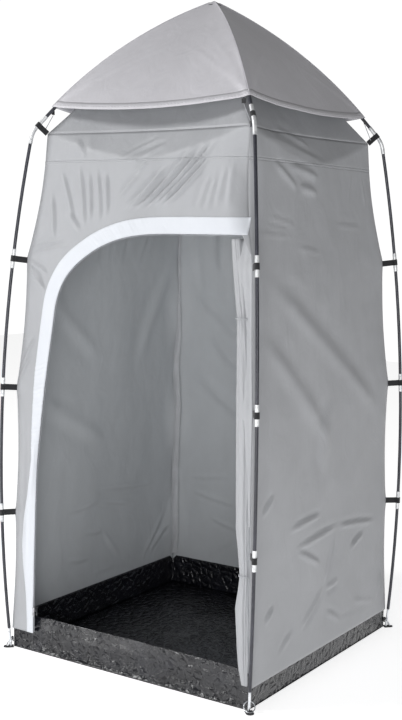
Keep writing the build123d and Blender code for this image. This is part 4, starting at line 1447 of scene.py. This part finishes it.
@dataclass
class RolledDoor:
    """The door's cloth, rolled up and tied back beside the front right corner."""

    cabin: CabinShape
    kit: Kit
    rows: int = 190
    sides: int = 72
    front_skin: float = 0.003
    shrink: float = 0.94
    pleat: float = 0.26
    tie_pleat: float = 0.24
    tie_span: float = 0.05
    knots: int = 60
    flange_low: float = 0.56
    flange_width: float = 0.07
    flange_area: float = 0.035

    def section(self, height: float) -> tuple[float, float, float, float]:
        """Middle and half sizes of the roll's section in the frame, at a height.

        Args:
            height: where the roll is cut.

        Returns:
            x and y of the middle, half the width and half the depth.
        """
        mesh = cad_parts["rolled_door"].data
        points = np.array([v.co for v in mesh.vertices])
        edges = np.array([e.vertices[:] for e in mesh.edges])
        first, second = points[edges[:, 0]], points[edges[:, 1]]
        over = (first[:, 2] - height) * (second[:, 2] - height) < 0.0
        first, second = first[over], second[over]
        share = (height - first[:, 2]) / (second[:, 2] - first[:, 2])
        cut = first + (second - first) * share[:, None]
        front = -float(self.cabin.half("front_left", np.array(height)))
        roll = cut[cut[:, 1] > front + self.front_skin + 0.002]
        low_x, high_x = roll[:, 0].min(), roll[:, 0].max()
        low_y, high_y = cut[:, 1].min(), roll[:, 1].max()
        return (low_x + high_x) / 2, (low_y + high_y) / 2, (high_x - low_x) / 2, (high_y - low_y) / 2

    def build(self) -> None:
        """Makes the roll with its pleats, and the flat cloth beside it."""
        low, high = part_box("rolled_door")
        ties = [sum((p.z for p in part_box(node))) / 2 for node in ("door_tie_lower", "door_tie_upper")]
        heights = np.linspace(low.z + 0.002, high.z - 0.002, self.rows)
        knots = np.linspace(low.z + 0.003, high.z - 0.003, self.knots)
        sections = np.array([self.section(z) for z in knots])
        columns = [np.interp(heights, knots, sections[:, i]) for i in range(4)]
        turns = np.linspace(0.0, 2.0 * math.pi, self.sides, endpoint=False)
        rings = []
        for x, y, half_x, half_y, z in zip(*columns, heights):
            tied = sum(math.exp(-(((z - tie) / self.tie_span) ** 2)) for tie in ties)
            drift = 0.5 * math.sin(z * 5.0) + 1.6 * z
            pleats = np.sin(turns * 7 + drift) + 0.6 * np.sin(turns * 12 - 1.7 * drift + 1.0)
            fine = np.sin(turns * 19 + 3.0 * drift)
            gathers = self.tie_pleat * tied * 0.6 * fine
            share = self.pleat * 0.5 * pleats + gathers + 0.02 * np.sin(z * 60 + turns * 3)
            size = self.shrink * (1.0 - np.abs(share) * 0.8 + np.minimum(share, 0.0) * 0.4)
            ring = np.stack([x + half_x * size * np.cos(turns), y + half_y * size * np.sin(turns)], axis=-1)
            rings.append(np.concatenate([ring, np.full((self.sides, 1), z)], axis=1))
        shape = Shape()
        shape.grid(np.array(rings), wrap=True)
        last = (self.rows - 1) * self.sides
        shape.faces.append(tuple(range(self.sides))[::-1])
        shape.faces.append(tuple(range(last, last + self.sides)))
        piece = settle(shape.piece("rolled_door_cloth", [self.kit.door]), DOOR, "rolled_door")
        self.flange(columns[0], heights, high.z)

    def flange(self, middles: np.ndarray, heights: np.ndarray, top: float) -> None:
        """The flat strip of the door between its corner seam and the roll.

        Args:
            middles: x of the roll's middle at each height.
            heights: those heights.
            top: the door's upper end.
        """
        z = np.linspace(self.flange_low, top - 0.002, 90)[:, None]
        start = np.interp(z, heights, middles)
        end = self.cabin.half("front_right", z) - 0.004
        share = np.linspace(0.0, 1.0, 13)[None, :]
        fade = smooth(self.flange_low, self.flange_low + 0.3, z)
        across = start + (end - start) * (1.0 - (1.0 - share) * (0.2 + 0.8 * fade))
        depth = self.cabin.half("front_right", z) - 0.0022
        wave = 0.0012 * np.sin(across * 160.0 + z * 9.0)
        points = np.stack([across, -(depth - np.abs(wave)), np.broadcast_to(z, across.shape)], axis=-1)
        shape = Shape()
        shape.grid(points)
        piece = thicken(shape.piece("rolled_door_flange", [self.kit.door]), 0.0009)
        settle(piece, DOOR)


# ------------------------------------------------------------------ ground sheet
@dataclass
class GroundSheet:
    """The black tray: floor, three upright sides and the sill under the door."""

    kit: Kit
    pitch: float = 0.0068
    thickness: float = 0.0009
    lean: float = 0.024
    corner_rise: float = 0.004
    belly: float = 0.0048
    proud: float = 0.0012
    crumples: tuple[float, float, float] = (0.0062, 0.0042, 0.0020)
    side_crumples: tuple[float, float, float] = (0.0022, 0.0009, 0.0012)
    floor_rise: float = 0.004

    def side(self, side: Side, half: float, rise: float, columns: int) -> np.ndarray:
        """One side of the tray, from the floor up.

        Args:
            side: which side.
            half: half its length.
            rise: its height.
            columns: quads along it.

        Returns:
            A grid of points.
        """
        rows = int(rise / self.pitch) * (2 if side is Side.FRONT else 1)
        up = np.linspace(0.0, 1.0, rows + 1)[:, None]
        across = np.linspace(-1.0, 1.0, columns + 1)[None, :]
        inner = 1.0 - np.abs(across) ** 8
        depth = half + 0.0 * across * up
        dip = self.corner_rise * (side is Side.FRONT) * (1.0 - inner)
        height = self.thickness + up * (rise - self.thickness - dip)
        if side is Side.FRONT:
            depth = depth - self.lean * inner * up
        points = depth[..., None] * side.outward + (half * across + 0.0 * up)[..., None] * side.along
        points[..., 2] = height
        flat = points.reshape(-1, 3)
        sharp = crumple(flat, 13.0, 4.0).reshape(depth.shape)
        small = crumple(flat, 34.0, 8.0).reshape(depth.shape)
        soft = ripple(flat, 9.0, 2.0).reshape(depth.shape)
        edge = inner * smooth(0.0, 0.08, up)
        if side is Side.FRONT:
            low_half = 1.0 - smooth(0.38, 0.6, up + 0.08 * soft)
            fine = crumple(flat, 75.0, 3.0).reshape(depth.shape)
            deep, shallow, least = self.crumples
            push = low_half * (deep * sharp + shallow * small + least * fine) + 0.0015 * soft
            push = push - self.belly * np.sin(math.pi * np.clip(up / 0.55, 0.0, 1.0)) * inner
            push = push + 0.0025 * soft * up
        else:
            deep, shallow, wavy = self.side_crumples
            push = -self.proud - np.abs(deep * sharp + shallow * small + wavy * soft) * (1.0 - up**4)
        points = points + (edge * np.minimum(push, self.proud))[..., None] * side.outward
        return points

    def build(self) -> None:
        """Makes the tray."""
        low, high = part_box("groundsheet_tub")
        half = high.x - 0.0006
        columns = int(2 * half / self.pitch)
        levels = sorted({round(v.co.z, 4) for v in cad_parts["groundsheet_tub"].data.vertices})
        rise = float(levels[-2])
        shape = Shape()
        line = np.linspace(-half, half, columns + 1)
        x, y = np.meshgrid(line, line)
        flat = np.stack([x, y, np.zeros_like(x)], axis=-1)
        edge = smooth(0.0, 0.05, (half - np.maximum(np.abs(x), np.abs(y))))
        puffs = np.maximum(ripple(flat.reshape(-1, 3), 5.0, 1.0), 0.0) * self.floor_rise
        ridges = np.maximum(crumple(flat.reshape(-1, 3), 7.0, 6.0), 0.0) * self.floor_rise
        flat[..., 2] = self.thickness + edge * (puffs + ridges).reshape(x.shape)
        shape.grid(flat)
        for side in Side:
            is_sill = side is Side.FRONT
            shape.grid(self.side(side, half, high.z if is_sill else rise, columns * (2 if is_sill else 1)))
        piece = thicken(shape.piece("ground_sheet", [self.kit.sheet], weld=0.0003), self.thickness)
        settle(piece, TENT, "groundsheet_tub")


# ------------------------------------------------------------------ rain cover
@dataclass
class RainCover:
    """Four gores sewn on the diagonals, with a hem whose stitches show."""

    kit: Kit
    thickness: float = 0.0007
    rows: int = 60
    columns: int = 90
    hollow: float = 0.010
    hem_dip: float = 0.020
    corner_lift: float = 0.008
    stitch: float = 0.0075
    stitch_pitch: float = 0.0125
    fold: float = 0.012
    fold_cut: float = 1.6
    pull_width: float = 0.016
    pulls: tuple[Place, ...] = ((0.45, 0.0022), (0.75, 0.0016), (1.15, 0.0018))

    def __post_init__(self) -> None:
        """Reads the ridge line from the frame."""
        points = np.array([v.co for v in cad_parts["cover_front"].data.vertices])
        ridge = points[np.abs(np.abs(points[:, 0]) - np.abs(points[:, 1])) < 0.0004]
        self.ridge = np.polyfit(np.abs(ridge[:, 0]), ridge[:, 2], 5)
        low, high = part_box("cover_hem")
        self.hem_top = high.z
        self.half = float(np.abs(ridge[:, 0]).max())

    def height(self, half: np.ndarray) -> np.ndarray:
        """Height of the ridge where the cover is this wide, in half-widths."""
        return np.polyval(self.ridge, half)

    def surface(self, side: Side, down: np.ndarray, across: np.ndarray, out: float = 0.0) -> np.ndarray:
        """Points of one gore.

        Args:
            side: which gore.
            down: 0 at the apex, 1 at the hem's upper edge, more below it.
            across: -1 to 1 between the ridges.
            out: distance outwards.

        Returns:
            The points.
        """
        down, across = np.broadcast_arrays(np.asarray(down, float), np.asarray(across, float))
        belly = 1.0 - across**2
        reach = 1.0 + (self.hem_dip * belly - self.corner_lift) / self.half * 0.75 * smooth(0.55, 1.0, down)
        half = self.half * np.maximum(down, 0.0) * reach
        z = self.height(half)
        flat = np.stack([across * half, z, np.full_like(z, side.value / 70.0)], axis=-1).reshape(-1, 3)
        waves = ripple(flat, 4.0, 5.0).reshape(z.shape) * 0.004
        waves = waves + ripple(flat, 11.0, 2.0).reshape(z.shape) * 0.0012
        pulls = np.zeros_like(z)
        for sign in (-1.0, 1.0):
            for slant, strength in self.pulls:
                off = (across * sign - 1.0) * half + slant * (self.half - half)
                pulls += strength * np.exp(-((off / self.pull_width) ** 2)) * smooth(0.45, 0.95, down)
        sink = self.hollow * belly * np.sin(math.pi * np.clip(down, 0.0, 1.0)) ** 0.8
        shift = smooth(0.0, 0.06, 1.0 - np.abs(across)) * (waves + pulls) * smooth(0.02, 0.2, down)
        shift = shift - sink + out
        tilt = np.arctan(np.abs(np.polyval(np.polyder(self.ridge), half)))
        depth = half + shift * np.sin(tilt)
        points = depth[..., None] * side.outward + (across * half)[..., None] * side.along
        points[..., 2] = z + shift * np.cos(tilt)
        return points

    def gores(self) -> None:
        """The four panels."""
        down = np.linspace(0.0, 1.0, self.rows + 1)[::-1][:, None]
        across = np.linspace(-1.0, 1.0, self.columns + 1)[None, :]
        slope = math.hypot(self.half, float(self.height(0.0)) - self.hem_top)
        for side in Side:
            shape = Shape()
            shape.grid(self.surface(side, down, across))
            name = "cover_" + side.word
            piece = shape.piece(name + "_cloth", [self.kit.cover, self.kit.lining])
            thicken(piece, self.thickness, lining=True)
            settle(piece, COVER, name)
            width, under = 2 * self.half, ["crown_hub", "roof_rods_front_left"]
            width * slope / 2

    def hem(self) -> None:
        """The turned hem along the lower edge and its dashes of thread."""
        band, thread, ridges = Shape(), Shape(), Shape()
        extra = self.fold / (self.half * self.fold_cut)
        for side in Side:
            across = np.linspace(-1.0, 1.0, self.columns + 1)[None, :]
            down = np.array((0.985, 1.0, 1.0 + extra * 0.5, 1.0 + extra))[:, None]
            lift = np.array((0.0002, 0.0008, 0.0009, 0.0006))[:, None]
            band.grid(self.surface(side, down[::-1], across, lift[::-1]))
            count = int(2 * self.half / self.stitch_pitch)
            places = (np.arange(count) + 0.5) / count * 2.0 - 1.0
            step = self.stitch / (2 * self.half)
            seam = 1.0 + extra * 0.35
            ends = [self.surface(side, seam, places + sign * step, 0.0013) for sign in (-1.0, 0.0, 1.0)]
            for line in np.array(ends).transpose(1, 0, 2):
                thread.tube(line, 0.0008, 6)
            edge = np.linspace(0.03, 1.0 + extra, 60)
            line = self.surface(side, edge, np.full_like(edge, 0.999), 0.0006)
            ridges.tube(line, 0.0012, 6)
        piece = thicken(band.piece("cover_hem_fold", [self.kit.cover]), 0.0016)
        settle(piece, COVER, "cover_hem")
        settle(thread.piece("cover_hem_stitches", [self.kit.thread]), COVER)
        settle(ridges.piece("cover_ridge_seams", [self.kit.cover]), COVER)

    def build(self) -> None:
        """Makes the cover."""
        self.gores()
        self.hem()


# ------------------------------------------------------------------ frame pieces and studio
def dress_frame(kit: Kit) -> None:
    """Gives the frame's own pieces their finishes.

    Args:
        kit: the finishes.
    """
    shared = (
        (kit.webbing, ("crown_hanger", "corner_straps", "shoulder_straps", "foot_tabs", "cover_corner_tabs")),
        (kit.elastic, ("cover_hold_downs", "door_tie_lower", "door_tie_upper")),
        (kit.ferrule, ("pole_ferrules",)),
        (kit.ring, ("foot_pins",)),
        (kit.zip_metal, ("zip_slider", "zip_pull_outer", "zip_pull_inner")),
        (kit.plastic, ("crown_hub", "toggle_lower", "toggle_upper")),
    )
    finishes = {node: finish for finish, nodes in shared for node in nodes}
    for corner in CORNERS:
        finishes["leg_rods_" + corner] = kit.resin
        finishes["roof_rods_" + corner] = kit.resin
        finishes["elbow_" + corner] = kit.ferrule
        finishes["shock_cord_" + corner] = kit.cord
        finishes["foot_ring_" + corner] = kit.ring
    for node, finish in finishes.items():
        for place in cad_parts[node].material_slots:
            place.material = finish
    LOG.info("finishes laid on %d of the frame's nodes", len(finishes))


@dataclass
class Studio:
    """Pale floor, soft lights and the camera."""

    spot: tuple[float, float, float] = (2.2458, -3.4123, 1.4310)
    heading: float = 33.725
    droop: float = 6.135
    tilt: float = 0.858
    lens: float = 58.948
    film: float = 36.0
    far: float = 60.0
    floor_half: float = 9.0
    floor_drop: float = 0.0006
    floor_glow: float = 0.72
    sky_light: float = 0.2
    sky_seen: float = 1.05

    def floor(self) -> None:
        """A wide pale floor."""
        line = np.linspace(-self.floor_half, self.floor_half, 13)
        x, y = np.meshgrid(line, line)
        shape = Shape()
        shape.grid(np.stack([x, y, np.full_like(x, -self.floor_drop)], axis=-1))
        paint = Paint("pale_floor")
        grain = paint.clouds(30.0, 4.0)
        finish = paint.finish(
            Base_Color=paint.mixed(grain, (0.9, 0.9, 0.9), (0.93, 0.93, 0.93)),
            Roughness=0.75 + grain * 0.1,
            Specular_IOR_Level=0.1,
            Emission_Color=(1.0, 1.0, 1.0, 1.0),
            Emission_Strength=self.floor_glow,
        )
        shape.piece("floor", [finish])

    def lamp(self, name: str, place: Colour, aim: Colour, size: float, power: float) -> None:
        """A square soft light.

        Args:
            name: its name.
            place: where it hangs.
            aim: what it points at.
            size: side of the square.
            power: in watts.
        """
        light = bpy.data.lights.new(name, "AREA")
        light.shape = "SQUARE"
        light.size = size
        light.energy = power
        lamp = bpy.data.objects.new(name, light)
        lamp.location = place
        lamp.rotation_euler = (Vector(aim) - Vector(place)).to_track_quat("-Z", "Y").to_euler()
        lamp.visible_camera = False
        bpy.context.scene.collection.objects.link(lamp)

    def sky(self) -> None:
        """White to the camera, and a softer light on the tent."""
        world = bpy.data.worlds.new("studio")
        bpy.context.scene.world = world
        world.use_nodes = True
        nodes = Nodes(world.node_tree)
        back = nodes.tree.nodes["Background"]
        back.inputs["Color"].default_value = (1.0, 1.0, 1.0, 1.0)
        seen = nodes.node("ShaderNodeLightPath", output="Is Camera Ray")
        limits = {"Value": seen, "To Min": self.sky_light, "To Max": self.sky_seen}
        share = nodes.node("ShaderNodeMapRange", None, limits)
        nodes.tree.links.new(share.socket, back.inputs["Strength"])

    def camera(self) -> None:
        """The camera, from its heading, droop and tilt."""
        turn, down, roll = (math.radians(a) for a in (self.heading, self.droop, self.tilt))
        ahead = Vector(
            (-math.sin(turn) * math.cos(down), math.cos(turn) * math.cos(down), -math.sin(down))
        )
        right = Vector((math.cos(turn), math.sin(turn), 0.0))
        up = right.cross(ahead)
        axis_x = right * math.cos(roll) + up * math.sin(roll)
        axis_y = up * math.cos(roll) - right * math.sin(roll)
        view = bpy.data.cameras.new("studio_camera")
        view.sensor_fit = "VERTICAL"
        view.sensor_height = self.film
        view.lens = self.lens
        view.clip_end = self.far
        camera = bpy.data.objects.new("studio_camera", view)
        facing = Matrix((axis_x, axis_y, -ahead)).transposed().to_4x4()
        camera.matrix_world = Matrix.Translation(self.spot) @ facing
        bpy.context.scene.collection.objects.link(camera)
        bpy.context.scene.camera = camera

    def build(self) -> None:
        """Sets the studio up."""
        bpy.context.scene.view_settings.view_transform = "Standard"
        self.floor()
        self.sky()
        self.lamp("key", (-3.8, -3.4, 4.4), (0.0, 0.0, 1.3), 1.2, 160.0)
        self.lamp("camera_side", (2.4, -4.6, 1.2), (-0.2, 0.2, 0.9), 1.6, 70.0)
        self.lamp("low_left", (-2.4, -3.8, 0.5), (0.0, -0.5, 0.05), 0.7, 18.0)
        self.camera()


def main() -> None:
    """Builds the tent's looks in order."""
    logging.basicConfig(level=logging.INFO, format="%(name)s %(message)s")
    kit = Kit()
    cabin = CabinShape()
    door = DoorOutline(cabin)
    CabinCloth(cabin, door, kit).build()
    DoorEdge(cabin, door, kit).build()
    RolledDoor(cabin, kit).build()
    GroundSheet(kit).build()
    RainCover(kit).build()
    dress_frame(kit)
    Studio().build()


if __name__ == "__main__":
    main()
